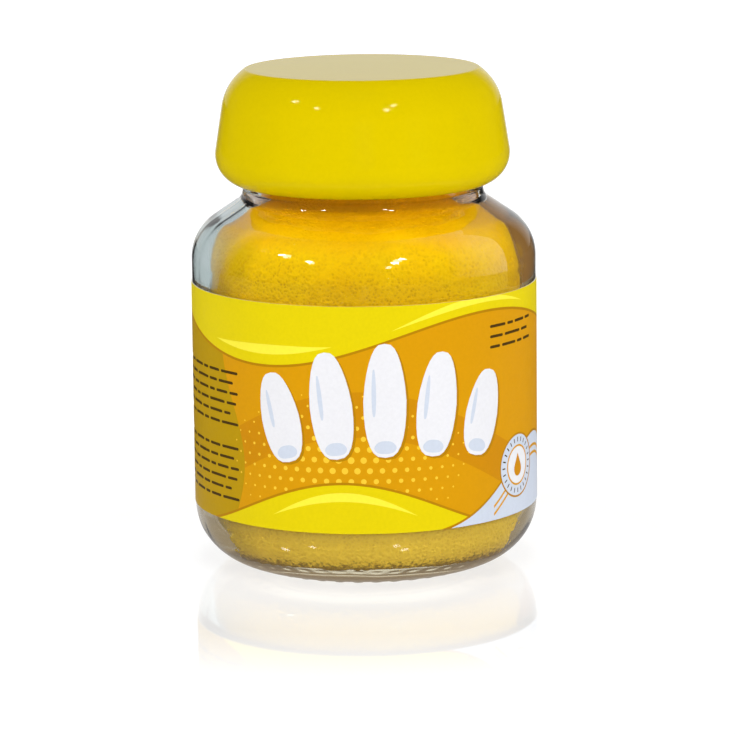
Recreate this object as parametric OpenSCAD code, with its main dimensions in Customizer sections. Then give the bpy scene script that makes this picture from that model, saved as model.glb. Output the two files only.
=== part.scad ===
// Sponge jar for nail polish remover: a glass jar with a screw cap, filled with a foam sponge.
// The jar stands on z = 0 with its axis on Z. Lengths are in millimetres, angles in degrees.

/* [Jar body] */
// Outer diameter of the straight body
jar_d = 54; // [50:1:60]
// Height of the rim above the surface that the jar stands on
jar_h = 71; // [69:1:85]
// Glass thickness of the straight body
jar_wall = 2.5; // [1.8:0.1:3.2]
// Radius of the rounded heel, outside
heel_r = 9.4; // [7:0.2:11]
// Width of the flat ring that the jar stands on
stand_ring_w = 1.2; // [1:0.1:3]
// Height of the push-up under the middle of the base
push_up_h = 1.4; // [0.6:0.1:2]
// Height of the floor inside, at its edge
floor_h = 3; // [2.6:0.1:6]
// Rise of the floor from its edge to its middle
floor_rise = 0.7; // [0.2:0.1:1.5]
// Radius of the corner between floor and wall, inside
floor_corner_r = 6; // [4:0.5:9]

/* [Jar mouth and neck] */
// Diameter of the mouth's bore
bore_d = 29; // [26:0.5:31]
// Glass thickness of the finish, between its threads
finish_wall = 3; // [2.4:0.1:3.6]
// Height of the finish, from the step above the neck up to the rim
finish_h = 10.5; // [9.5:0.1:12]
// Rounding of the rim's two edges
rim_r = 0.9; // [0.3:0.1:1.1]
// How far the neck stands out beyond the finish, on each side
neck_step = 1.35; // [1:0.05:1.7]
// Height of the sloping step between the neck and the finish
neck_step_h = 1.3; // [0.8:0.1:1.6]
// Blend radius at the step's edges
step_blend_r = 0.4; // [0.1:0.1:0.5]
// Distance from the step's foot up to the cap's lowest point
step_below_cap = 0.4; // [0.2:0.1:0.8]
// Distance from where the neck meets the shoulder up to the cap's lowest point
neck_show = 1.8; // [1.2:0.1:4]

/* [Jar shoulder] */
// Slope of the shoulder against the horizontal
shoulder_slope = 34; // [28:1:38]
// Blend radius from the body into the shoulder
shoulder_r = 7.5; // [4:0.5:9]
// Blend radius from the shoulder into the neck
neck_blend_r = 2.2; // [1:0.1:2.6]
// Glass thickness of the shoulder, square to its slope
shoulder_wall = 2.3; // [2.2:0.1:3.4]
// Blend radius from the bore into the shoulder, inside
bore_blend_r = 10; // [3:0.5:10]
// Blend radius from the shoulder into the straight wall, inside
shoulder_inner_r = 7.5; // [5:0.5:8]

/* [Thread] */
// Lead of the thread in one turn
thread_lead = 4.23; // [4:0.01:4.6]
// Height of the jar's thread over the finish
thread_depth = 1.15; // [0.9:0.05:1.25]
// Width of the jar's thread at its root
jar_thread_root_w = 2.1; // [1.8:0.1:2.2]
// Width of the jar's thread at its crest
jar_thread_crest_w = 0.9; // [0.6:0.1:1.2]
// Width of the cap's thread at its root
cap_thread_root_w = 1.8; // [1.2:0.1:1.9]
// Width of the cap's thread at its crest
cap_thread_crest_w = 0.8; // [0.4:0.1:1]
// Clearance between the crest of one thread and the root of the other
thread_clearance = 0.3; // [0.2:0.05:0.4]
// Distance from the rim down to the middle of the thread's upper end
thread_drop = 2.1; // [1.8:0.1:2.4]
// Distance from the step's top up to the middle of the jar thread's lower end
jar_thread_foot = 3.1; // [2:0.1:4]
// Distance from the insert's foot up to the middle of the cap thread's lower end
cap_thread_foot = 1.4; // [1.2:0.1:2]
// Angle over which each end of a thread runs out into its wall
run_out_angle = 40; // [20:5:60]

/* [Base knurling] */
// Number of short radial bars round the base
knurl_count = 42; // [36:2:60]
// Length of a bar along the radius
knurl_l = 1.6; // [1:0.1:3]
// Width of a bar
knurl_w = 1.1; // [0.6:0.1:1.4]

/* [Sponge] */
// Gap between the foam and the glass
sponge_gap = 0.3; // [0.2:0.05:0.6]
// Distance from the rim down to the top of the sponge
sponge_drop = 5.2; // [4.6:0.1:7]
// Rounding of the sponge's top edge
sponge_edge_r = 1.6; // [0.5:0.1:2.5]
// Diameter of the finger well in the middle of the sponge
well_d = 13; // [11:0.5:16]
// Height of the well's bottom above the floor's edge
well_floor = 9; // [5:0.5:20]
// Rounding of the well's mouth
well_mouth_r = 2.2; // [1:0.1:3]
// Rounding of the well's bottom corner
well_corner_r = 4.5; // [2:0.5:5]

/* [Label] */
// Distance from the top of the heel up to the label's lower edge
label_foot = 0.2; // [0:0.1:2]
// Distance from the label's upper edge up to where the shoulder starts
label_head = 3.6; // [1:0.1:8]
// Thickness of the film
label_t = 0.12; // [0.08:0.01:0.2]
// Gap between the label's ends at the back
label_seam_w = 3; // [1:0.5:8]

/* [Cap shell] */
// Thickness of the shell's side at its widest
cap_side_t = 2.85; // [2.2:0.05:4]
// Lean of the side against the vertical
cap_side_lean = 9; // [6:0.5:11]
// Radius of the tucked-in lower edge
cap_edge_r = 4.9; // [4:0.1:5.6]
// Thickness of the lip at the lower edge, which the insert snaps in over
cap_lip_t = 0.5; // [0.3:0.1:0.8]
// How far that lip reaches in under the insert
cap_lip_w = 0.4; // [0.2:0.05:0.5]
// Radius of the rounded crown
cap_crown_r = 8.5; // [7.5:0.1:10]
// How far the flat top's edge lies inside the cap's widest place
cap_top_inset = 4.8; // [4.2:0.1:5.6]
// Rounding of the flat top's edge
cap_rim_r = 0.8; // [0.3:0.1:1.2]
// Thickness of the flat top
cap_top_t = 2.1; // [1.5:0.1:2.6]
// Depth of the ribs under the flat top
cap_rib_h = 1.7; // [1.2:0.1:2]
// Thickness of those ribs
cap_rib_t = 1.3; // [0.8:0.1:1.8]
// Distance from the shell's bore in to the middle of the ring that joins those ribs
cap_rib_ring_inset = 7.7; // [5:0.1:10]
// Number of ribs that run out from the middle
cap_rib_count = 8; // [4:1:12]

/* [Cap insert and liner] */
// Thickness of the insert's sleeve
insert_wall = 1; // [0.8:0.05:1.05]
// Thickness of the insert's top
insert_top_t = 1.2; // [1:0.1:1.6]
// Rounding of the insert's top edge
insert_edge_r = 2.2; // [1.8:0.1:3]
// Clearance between the insert and the shell
insert_clearance = 0.05; // [0.03:0.01:0.1]
// Height of the collar round the insert's foot, below the sleeve's ribs
collar_h = 1.5; // [1:0.1:2]
// Height of the ribs that grip the shell, over the sleeve
grip_rib_h = 0.2; // [0.15:0.01:0.25]
// Width of a grip rib
grip_rib_w = 0.8; // [0.5:0.1:1.2]
// Number of grip ribs
grip_rib_count = 24; // [12:4:36]
// Thickness of the liner
liner_t = 1.4; // [1:0.1:1.8]
// Gap between the liner and what it meets above and below
seat_gap = 0.2; // [0.1:0.05:0.3]
// Gap between the liner's edge and the insert's bore
liner_edge_gap = 0.5; // [0.3:0.05:0.6]
// Height of the bead that holds the liner in
bead_h = 0.75; // [0.7:0.05:0.8]
// Width of that bead along the axis
bead_w = 0.8; // [0.6:0.1:0.9]
// Lead-in chamfer at the insert's mouth
lead_in = 0.4; // [0.2:0.05:0.5]

/* [Hidden] */

$fn = 96;
overrun = 0.5;
arc_steps = 6;
thread_steps = 36;
thread_sink = 0.5;

glass_tint = [0.80, 0.88, 0.90, 0.45];
foam_yellow = [0.93, 0.70, 0.10];
label_gold = [0.90, 0.66, 0.05];
cap_yellow = [0.89, 0.84, 0.00];
insert_white = [0.93, 0.93, 0.90];
liner_white = [0.98, 0.98, 0.96];

// Radii and heights that follow from the sizes above, first the jar's, from its rim down
jar_r = jar_d / 2;
inner_r = jar_r - jar_wall;
bore_r = bore_d / 2;
finish_r = bore_r + finish_wall;
neck_r = finish_r + neck_step;
step_top_z = jar_h - finish_h;
step_z = step_top_z - neck_step_h;
cap_z = step_z + step_below_cap;
shoulder_z = cap_z - neck_show - (jar_r - neck_r) * tan(shoulder_slope);
stand_outer_r = jar_r - heel_r;
stand_inner_r = stand_outer_r - stand_ring_w;
sponge_top_z = jar_h - sponge_drop;
well_floor_z = floor_h + well_floor;
label_z = heel_r + label_foot;
label_top_z = shoulder_z - shoulder_r * tan(45 - shoulder_slope / 2) - label_head;

// The threads, and the cap from its bore outward
jar_crest_r = finish_r + thread_depth;
insert_bore_r = jar_crest_r + thread_clearance;
insert_crest_r = finish_r + thread_clearance;
jar_thread_z = jar_h - thread_drop;
cap_thread_z = jar_thread_z - thread_lead / 2;
jar_thread_turns = (jar_thread_z - step_top_z - jar_thread_foot) / thread_lead;
sleeve_r = insert_bore_r + insert_wall;
shell_bore_r = sleeve_r + grip_rib_h + insert_clearance;
collar_r = shell_bore_r - insert_clearance;
cap_r = shell_bore_r + cap_side_t;
cap_top_r = cap_r - cap_top_inset;

// The cap's lower edge is an arc round edge_centre. edge_angle is where it reaches radius r.
edge_centre = [cap_r - cap_edge_r, cap_z + cap_edge_r];
function edge_angle(r) = -acos((r - edge_centre[0]) / cap_edge_r);
lip_r = shell_bore_r - cap_lip_w;
lip_z = edge_centre[1] + cap_edge_r * sin(edge_angle(shell_bore_r)) + cap_lip_t;
foot_z = lip_z + insert_clearance;
cap_thread_turns = (cap_thread_z - foot_z - cap_thread_foot) / thread_lead;

// The cap from the rim upward
liner_z = jar_h + seat_gap;
insert_ceiling_z = liner_z + liner_t + seat_gap;
insert_top_z = insert_ceiling_z + insert_top_t;
shell_ceiling_z = insert_top_z + cap_rib_h;
cap_top_z = shell_ceiling_z + cap_top_t;

// Height of the shoulder's surface at radius r, moved inward by the given depth of glass
function shoulder_at(r, depth) =
    shoulder_z + (jar_r - r) * tan(shoulder_slope) - depth / cos(shoulder_slope);

// Points of an arc round centre c, from angle a to angle b
function arc(c, r, a, b, steps = arc_steps) =
    [for (i = [0 : steps]) c + r * [cos(a + (b - a) * i / steps), sin(a + (b - a) * i / steps)]];

// An outline with rounded corners. Each point is [radius, height, corner radius].
function xy(p) = [p[0], p[1]];
function unit(v) = v / norm(v);
function corner(a, p, b, r) =
    let (u = unit(a - p), v = unit(b - p), half = acos(u * v) / 2,
         c = p + unit(u + v) * r / sin(half),
         s = p + u * r / tan(half) - c, e = p + v * r / tan(half) - c,
         a0 = atan2(s[1], s[0]), turn = atan2(e[1], e[0]) - a0,
         short = turn > 180 ? turn - 360 : turn < -180 ? turn + 360 : turn)
    arc(c, r, a0, a0 + short);
function rounded(pts) =
    [for (i = [0 : len(pts) - 1])
        each pts[i][2] > 0
            ? corner(xy(pts[(i + len(pts) - 1) % len(pts)]), xy(pts[i]), xy(pts[(i + 1) % len(pts)]), pts[i][2])
            : [xy(pts[i])]];

// A shallow dome from its top on the axis out to radius a, in steps
function dome(a, rise, z) =
    let (r = (a * a + rise * rise) / (2 * rise), half = asin(a / r))
    arc([0, z + rise - r], r, 90, 90 - half);
function reversed(list) = [for (i = [len(list) - 1 : -1 : 0]) list[i]];
function but_first(list) = [for (i = [1 : len(list) - 1]) list[i]];
function but_last(list) = [for (i = [0 : len(list) - 2]) list[i]];

// One helical thread. It stands out from root_r to crest_r, is sunk into the wall behind it
// and runs out into that wall at both ends. Its upper end is on +X, with its middle at height z.
module thread(root_r, crest_r, root_w, crest_w, z, turns) {
    out = sign(crest_r - root_r);
    back_r = root_r - out * thread_sink;
    n = ceil(turns * thread_steps);
    span = turns * 360;
    rings = [for (i = [0 : n])
        let (a = span * i / n,
             grow = min(1, a / run_out_angle, (span - a) / run_out_angle),
             zc = z - thread_lead * turns + thread_lead * a / 360,
             hidden_r = root_r - out * thread_sink / 2,
             tip_r = hidden_r + (crest_r - hidden_r) * grow)
        for (p = [[back_r, -root_w / 2], [tip_r, -crest_w / 2], [tip_r, crest_w / 2], [back_r, root_w / 2]])
            [p[0] * cos(a - span), p[0] * sin(a - span), zc + p[1]]];
    order = out > 0 ? [3, 2, 1, 0] : [0, 1, 2, 3];
    sides = [for (i = [0 : n - 1], k = [0 : 3])
        let (p = order[k], q = order[(k + 1) % 4])
        each [[4 * i + p, 4 * i + 4 + p, 4 * i + 4 + q], [4 * i + p, 4 * i + 4 + q, 4 * i + q]]];
    ends = [[order[0], order[1], order[2]], [order[0], order[2], order[3]],
            [4 * n + order[2], 4 * n + order[1], 4 * n + order[0]],
            [4 * n + order[3], 4 * n + order[2], 4 * n + order[0]]];
    polyhedron(rings, concat(sides, ends));
}

// Short radial bars just outside the flat ring, under the start of the heel
module base_knurling() {
    knurl_h = heel_r - sqrt(pow(heel_r, 2) - pow(knurl_l, 2)) + overrun;
    for (i = [0 : knurl_count - 1])
        rotate(i * 360 / knurl_count)
            translate([stand_outer_r - stand_ring_w / 2, -knurl_w / 2, 0])
                cube([stand_ring_w / 2 + knurl_l, knurl_w, knurl_h]);
}

// The jar in one piece: base, body, shoulder, neck and threaded finish
module glass_jar() {
    outside = [
        [stand_inner_r, 0, 0],
        [jar_r, 0, heel_r],
        [jar_r, shoulder_z, shoulder_r],
        [neck_r, shoulder_at(neck_r, 0), neck_blend_r],
        [neck_r, step_z, step_blend_r],
        [finish_r, step_top_z, step_blend_r],
        [finish_r, jar_h, rim_r]];
    inside = [
        [bore_r, jar_h, rim_r],
        [bore_r, shoulder_at(bore_r, shoulder_wall), bore_blend_r],
        [inner_r, shoulder_at(inner_r, shoulder_wall), shoulder_inner_r],
        [inner_r, floor_h, floor_corner_r],
        [0, floor_h, 0]];
    section = concat(
        but_last(rounded(concat(outside, inside))),
        but_first(reversed(dome(inner_r - floor_corner_r, floor_rise, floor_h))),
        but_last(dome(stand_inner_r, push_up_h, 0)));
    color(glass_tint)
        union() {
            rotate_extrude() polygon(section);
            thread(finish_r, jar_crest_r, jar_thread_root_w, jar_thread_crest_w,
                jar_thread_z, jar_thread_turns);
            base_knurling();
        }
}

// The foam, squeezed through the neck, with a round well down its middle for a finger
module sponge() {
    side_r = inner_r - sponge_gap;
    throat_r = bore_r - sponge_gap;
    depth = shoulder_wall + sponge_gap;
    base_z = floor_h + sponge_gap;
    floor_r = inner_r - floor_corner_r;
    outline = rounded([
        [0, base_z, 0],
        [side_r, base_z, floor_corner_r - sponge_gap],
        [side_r, shoulder_at(side_r, depth), shoulder_inner_r - sponge_gap],
        [throat_r, shoulder_at(throat_r, depth), bore_blend_r + sponge_gap],
        [throat_r, sponge_top_z, sponge_edge_r],
        [well_d / 2, sponge_top_z, well_mouth_r],
        [well_d / 2, well_floor_z, well_corner_r],
        [0, well_floor_z, 0]]);
    color(foam_yellow)
        rotate_extrude()
            polygon(concat(but_last(dome(floor_r, floor_rise, base_z)), but_first(outline)));
}

// The printed film round the body, with a narrow gap between its ends at the back
module label() {
    label_h = label_top_z - label_z;
    color(label_gold)
        translate([0, 0, label_z])
            difference() {
                cylinder(r = jar_r + label_t, h = label_h);
                translate([0, 0, -overrun])
                    cylinder(r = jar_r, h = label_h + 2 * overrun);
                translate([-label_seam_w / 2, 0, -overrun])
                    cube([label_seam_w, jar_r + label_t + overrun, label_h + 2 * overrun]);
            }
}

// The crown is an arc that touches the leaning side and ends at the flat top's edge
side_up = [-sin(cap_side_lean), cos(cap_side_lean)];
side_out = [cos(cap_side_lean), sin(cap_side_lean)];
side_foot = edge_centre + cap_edge_r * side_out;
top_edge = [cap_top_r, cap_top_z];
to_top_edge = top_edge - side_foot + cap_crown_r * side_out;
crown_rise = to_top_edge * side_up - sqrt(pow(cap_crown_r, 2) - pow(to_top_edge * side_out, 2));
crown_centre = side_foot + crown_rise * side_up - cap_crown_r * side_out;

// The glossy outer cap. The crown's thickness comes from the bore and the crown's arc.
module cap_shell() {
    crown_end = atan2(cap_top_z - crown_centre[1], cap_top_r - crown_centre[0]);
    rim_angle = cap_rim_r / cap_crown_r * 180 / PI;
    crown = arc(crown_centre, cap_crown_r, cap_side_lean, crown_end - rim_angle, 2 * arc_steps);
    hollow_r = shell_bore_r - crown_centre[0];
    hollow_end = asin((shell_ceiling_z - crown_centre[1]) / hollow_r);
    outline = concat(
        arc(edge_centre, cap_edge_r, edge_angle(lip_r), cap_side_lean, 2 * arc_steps),
        crown,
        corner(crown[len(crown) - 1], top_edge, [0, cap_top_z], cap_rim_r),
        [[0, cap_top_z], [0, shell_ceiling_z]],
        reversed(arc(crown_centre, hollow_r, 0, hollow_end)),
        [[shell_bore_r, lip_z], [lip_r, lip_z]]);
    ring_r = shell_bore_r - cap_rib_ring_inset;
    color(cap_yellow)
        union() {
            rotate_extrude() polygon(outline);
            translate([0, 0, insert_top_z])
                difference() {
                    cylinder(r = ring_r + cap_rib_t / 2, h = cap_rib_h + overrun);
                    translate([0, 0, -overrun])
                        cylinder(r = ring_r - cap_rib_t / 2, h = cap_rib_h + 3 * overrun);
                }
            for (i = [0 : cap_rib_count - 1])
                rotate(i * 360 / cap_rib_count)
                    translate([cap_rib_t * 2, -cap_rib_t / 2, insert_top_z])
                        cube([ring_r - 2 * cap_rib_t, cap_rib_t, cap_rib_h + overrun]);
        }
}

// The inner cap: a sleeve with the thread, a closed top, a collar that stands on the shell's lip
// and ribs that grip the shell
module cap_insert() {
    bead_z = liner_z - seat_gap - bead_w;
    collar_z = foot_z + collar_h;
    outline = rounded([
        [insert_bore_r + lead_in, foot_z, 0],
        [collar_r, foot_z, 0],
        [collar_r, collar_z, 0],
        [sleeve_r, collar_z, 0],
        [sleeve_r, insert_top_z, insert_edge_r],
        [0, insert_top_z, 0],
        [0, insert_ceiling_z, 0],
        [insert_bore_r, insert_ceiling_z, 0],
        [insert_bore_r, bead_z + bead_w, 0],
        [insert_bore_r - bead_h, bead_z + bead_w / 2, 0],
        [insert_bore_r, bead_z, 0],
        [insert_bore_r, foot_z + lead_in, 0]]);
    rib_top_z = insert_top_z - 2 * insert_edge_r;
    color(insert_white)
        union() {
            rotate_extrude() polygon(outline);
            thread(insert_bore_r, insert_crest_r, cap_thread_root_w, cap_thread_crest_w,
                cap_thread_z, cap_thread_turns);
            for (i = [0 : grip_rib_count - 1])
                rotate(i * 360 / grip_rib_count)
                    translate([sleeve_r - insert_wall / 2, -grip_rib_w / 2, collar_z - overrun])
                        cube([insert_wall / 2 + grip_rib_h, grip_rib_w, rib_top_z - collar_z + overrun]);
        }
}

// The sealing wad. It lies loose in the insert, so it stays still while the cap turns over it.
module cap_liner() {
    color(liner_white)
        translate([0, 0, liner_z])
            cylinder(r = insert_bore_r - liner_edge_gap, h = liner_t);
}

glass_jar();
sponge();
label();
cap_shell();
cap_insert();
cap_liner();
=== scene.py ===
"""Looks of a sponge jar for nail polish remover: glass jar, foam sponge, printed film label and screw cap.

Every size of the jar is in millimetres and is turned to metres when a mesh is made. The studio's sizes are
in metres. The jar stands on z = 0 with its axis on Z, and the label's middle faces -Y.
"""

import logging
import math
from collections.abc import Callable, Sequence
from dataclasses import dataclass, field, replace
from enum import Enum

import bpy
import numpy as np
from mathutils import Matrix, Vector, noise
from mathutils.geometry import delaunay_2d_cdt

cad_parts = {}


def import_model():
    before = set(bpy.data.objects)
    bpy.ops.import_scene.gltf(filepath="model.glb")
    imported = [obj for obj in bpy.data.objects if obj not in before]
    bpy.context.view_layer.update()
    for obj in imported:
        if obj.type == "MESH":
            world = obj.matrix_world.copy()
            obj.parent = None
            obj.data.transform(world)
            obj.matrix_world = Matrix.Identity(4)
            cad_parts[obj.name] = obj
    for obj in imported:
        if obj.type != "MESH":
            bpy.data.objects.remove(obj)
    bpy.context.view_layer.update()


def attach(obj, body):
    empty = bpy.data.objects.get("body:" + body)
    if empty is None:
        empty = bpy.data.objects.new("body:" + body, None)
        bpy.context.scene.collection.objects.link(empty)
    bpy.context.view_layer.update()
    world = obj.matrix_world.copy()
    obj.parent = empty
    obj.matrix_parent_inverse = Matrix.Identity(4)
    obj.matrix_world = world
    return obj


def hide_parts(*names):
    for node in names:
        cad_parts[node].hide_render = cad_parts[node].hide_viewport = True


log = logging.getLogger("sponge_jar")

MM = 0.001
WHITE = "#FFFFFF"
# How near a wall's radius, in mm, a point of a section lies to be on that wall.
ON_WALL = 1e-3
# The longest step of a section, in mm, along a wall that carries a thread.
THREAD_STEP = 0.16
# A rounding of this radius, in mm, or more has all the chords that are asked for.
FULL_ROUNDING = 3.0
FEWEST_CHORDS = 6
Point = tuple[float, float]
Span = tuple[float, float]
Corner = tuple[float, float, float]
Relief = Callable[[np.ndarray, np.ndarray, np.ndarray], np.ndarray]
Tree = bpy.types.NodeTree
Socket = bpy.types.NodeSocket


def linear(colour: str) -> tuple[float, float, float, float]:
    """Turns an sRGB hex colour to linear values.

    Args:
        colour: Six hex digits after a hash sign.

    Returns:
        Red, green, blue and a full alpha.
    """
    parts = [int(colour[k : k + 2], 16) / 255 for k in (1, 3, 5)]
    red, green, blue = (c / 12.92 if c <= 0.04045 else ((c + 0.055) / 1.055) ** 2.4 for c in parts)
    return red, green, blue, 1.0


def add_node(tree: Tree, kind: str, inputs: dict | None = None, **settings: object) -> bpy.types.Node:
    """Adds one node.

    Args:
        tree: The node tree it goes in.
        kind: Blender's name for the node.
        inputs: Values, or output sockets to link from, by input name or number.
        settings: The node's own settings.

    Returns:
        The node.
    """
    node = tree.nodes.new(kind)
    for name, value in settings.items():
        setattr(node, name, value)
    for key, value in (inputs or {}).items():
        if isinstance(value, Socket):
            tree.links.new(value, node.inputs[key])
        else:
            node.inputs[key].default_value = value
    return node


def empty_material(name: str) -> tuple[bpy.types.Material, Tree]:
    """Makes a material with no nodes in it.

    Args:
        name: The material's name.

    Returns:
        The material and its node tree.
    """
    material = bpy.data.materials.new(name)
    material.use_nodes = True
    material.node_tree.nodes.clear()
    return material, material.node_tree


def grain(tree: Tree, size_mm: float, detail: float = 3.0, spread: Span | None = None) -> Socket:
    """Adds noise whose grains have a real size.

    Args:
        tree: The node tree.
        size_mm: The width of a grain.
        detail: How many finer layers lie on it.
        spread: The values that its low and its high places get. The bare noise is given without it.

    Returns:
        The noise's value.
    """
    here = add_node(tree, "ShaderNodeTexCoord").outputs["Object"]
    inputs = {"Vector": here, "Scale": 1 / (size_mm * MM), "Detail": detail}
    value = add_node(tree, "ShaderNodeTexNoise", inputs).outputs["Fac"]
    if spread is None:
        return value
    inputs = {"Value": value, "From Min": 0.3, "From Max": 0.7, "To Min": spread[0], "To Max": spread[1]}
    return add_node(tree, "ShaderNodeMapRange", inputs).outputs["Result"]


class Way(Enum):
    """What a change in a finish runs along: an axis, or the distance from the frame's origin."""

    X = "X"
    Y = "Y"
    Z = "Z"
    REACH = "Reach"


def change(
    tree: Tree, way: Way, places_mm: Span, values: Span, stray: Socket | None = None, stray_mm: float = 0.0
) -> Socket:
    """Adds a value that changes evenly between two places.

    Args:
        tree: The node tree.
        way: What it changes along.
        places_mm: The place where the change starts and the one where it ends.
        values: The value before the first place and the one beyond the second.
        stray: Noise that moves both places, so that the change is ragged.
        stray_mm: How far it moves them.

    Returns:
        The value.
    """
    here = add_node(tree, "ShaderNodeTexCoord").outputs["Object"]
    if way is Way.REACH:
        along = add_node(tree, "ShaderNodeVectorMath", {0: here}, operation="LENGTH").outputs["Value"]
    else:
        along = add_node(tree, "ShaderNodeSeparateXYZ", {0: here}).outputs[way.value]
    if stray is not None:
        inputs = {0: stray, 1: stray_mm * MM, 2: along}
        along = add_node(tree, "ShaderNodeMath", inputs, operation="MULTIPLY_ADD").outputs[0]
    inputs = {"Value": along, "From Min": places_mm[0] * MM, "From Max": places_mm[1] * MM}
    inputs |= {"To Min": values[0], "To Max": values[1]}
    return add_node(tree, "ShaderNodeMapRange", inputs).outputs["Result"]


def layered(tree: Tree, ground: str, layers: Sequence[tuple[Socket, Socket | str]]) -> Socket:
    """Lays colours over a ground.

    Args:
        tree: The node tree.
        ground: The ground's hex colour.
        layers: For each layer, how much of it shows and its colour, the lowest first.

    Returns:
        The colour on top.
    """
    colour = linear(ground)
    for share, over in layers:
        inputs = {0: share, 6: colour, 7: linear(over) if isinstance(over, str) else over}
        colour = add_node(tree, "ShaderNodeMix", inputs, data_type="RGBA").outputs[2]
    return colour


def by_ray(
    tree: Tree, other: Socket | float, glossy: Socket, through: Socket | float, direct: Socket | float
) -> Socket:
    """Picks a value by the kind of ray that meets a surface of the studio.

    Args:
        tree: The node tree.
        other: The value for light that a matt surface gathers.
        glossy: The value in mirror images.
        through: The value seen through glass.
        direct: The value that the camera sees.

    Returns:
        The value.
    """
    rays = add_node(tree, "ShaderNodeLightPath").outputs
    value = other
    for kind, own in (("Glossy", glossy), ("Transmission", through), ("Camera", direct)):
        value = add_node(tree, "ShaderNodeMix", {0: rays[f"Is {kind} Ray"], 2: value, 3: own}).outputs[0]
    return value


@dataclass(frozen=True)
class Finish:
    """What a piece's surface is made of and how it was made."""

    name: str
    colour: str

    def material(self) -> bpy.types.Material:
        """Builds the material.

        Returns:
            The material, with the shader from surface().
        """
        material, tree = empty_material(self.name)
        add_node(tree, "ShaderNodeOutputMaterial", {"Surface": self.surface(tree)})
        material.diffuse_color = linear(self.colour)
        return material

    def surface(self, tree: Tree) -> Socket:
        """Adds the finish's shader nodes. Each finish has its own."""
        raise NotImplementedError


@dataclass(frozen=True)
class MouldedGlass(Finish):
    """Soda-lime glass, blown in a mould and fire polished.

    It is clear with a faint cool tint. The mould leaves it a little wavy, so edges seen through it wander,
    and its skin is all but free of roughness. The mould's base plate is stippled, so the glass is frosted
    round its foot. The foot has a faint warm painted glow, an emission with no lamp behind it.
    """

    ior: float = 1.52
    ripple_mm: float = 9.0
    ripple_h_mm: float = 0.4
    ripple: float = 0.12
    smear_mm: float = 14.0
    haze: float = 0.008
    stipple: float = 0.13
    stipple_mm: Span = (1.3, 2.6)
    # Painted glow on the foot: a warm emission with no lamp behind it.
    painted_foot_glow_colour: str = "#C8A878"
    painted_foot_glow: float = 0.1
    painted_foot_glow_mm: Span = (1.6, 3.0)

    def surface(self, tree: Tree) -> Socket:
        """Adds the glass.

        Args:
            tree: The material's node tree.

        Returns:
            Glass for every ray but those from lamps, which pass straight through.
        """
        waves = grain(tree, self.ripple_mm, 1.0)
        inputs = {"Height": waves, "Strength": self.ripple, "Distance": self.ripple_h_mm * MM}
        bump = add_node(tree, "ShaderNodeBump", inputs)
        stipple = change(tree, Way.Z, self.stipple_mm, (self.stipple, 0.0))
        skin = grain(tree, self.smear_mm, spread=(0.0, self.haze))
        rough = add_node(tree, "ShaderNodeMath", {0: skin, 1: stipple}, operation="MAXIMUM").outputs[0]
        inputs = {
            "Base Color": linear(self.colour),
            "Roughness": rough,
            # The foot's painted glow.
            "Emission Color": linear(self.painted_foot_glow_colour),
            "Emission Strength": change(tree, Way.Z, self.painted_foot_glow_mm, (self.painted_foot_glow, 0.0)),
            "IOR": self.ior,
            "Transmission Weight": 1.0,
            "Normal": bump.outputs["Normal"],
        }
        glass = add_node(tree, "ShaderNodeBsdfPrincipled", inputs)
        clear = add_node(tree, "ShaderNodeBsdfTransparent", {"Color": linear(self.colour)})
        from_lamp = add_node(tree, "ShaderNodeLightPath").outputs["Is Shadow Ray"]
        inputs = {0: from_lamp, 1: glass.outputs[0], 2: clear.outputs[0]}
        return add_node(tree, "ShaderNodeMixShader", inputs).outputs[0]


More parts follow.
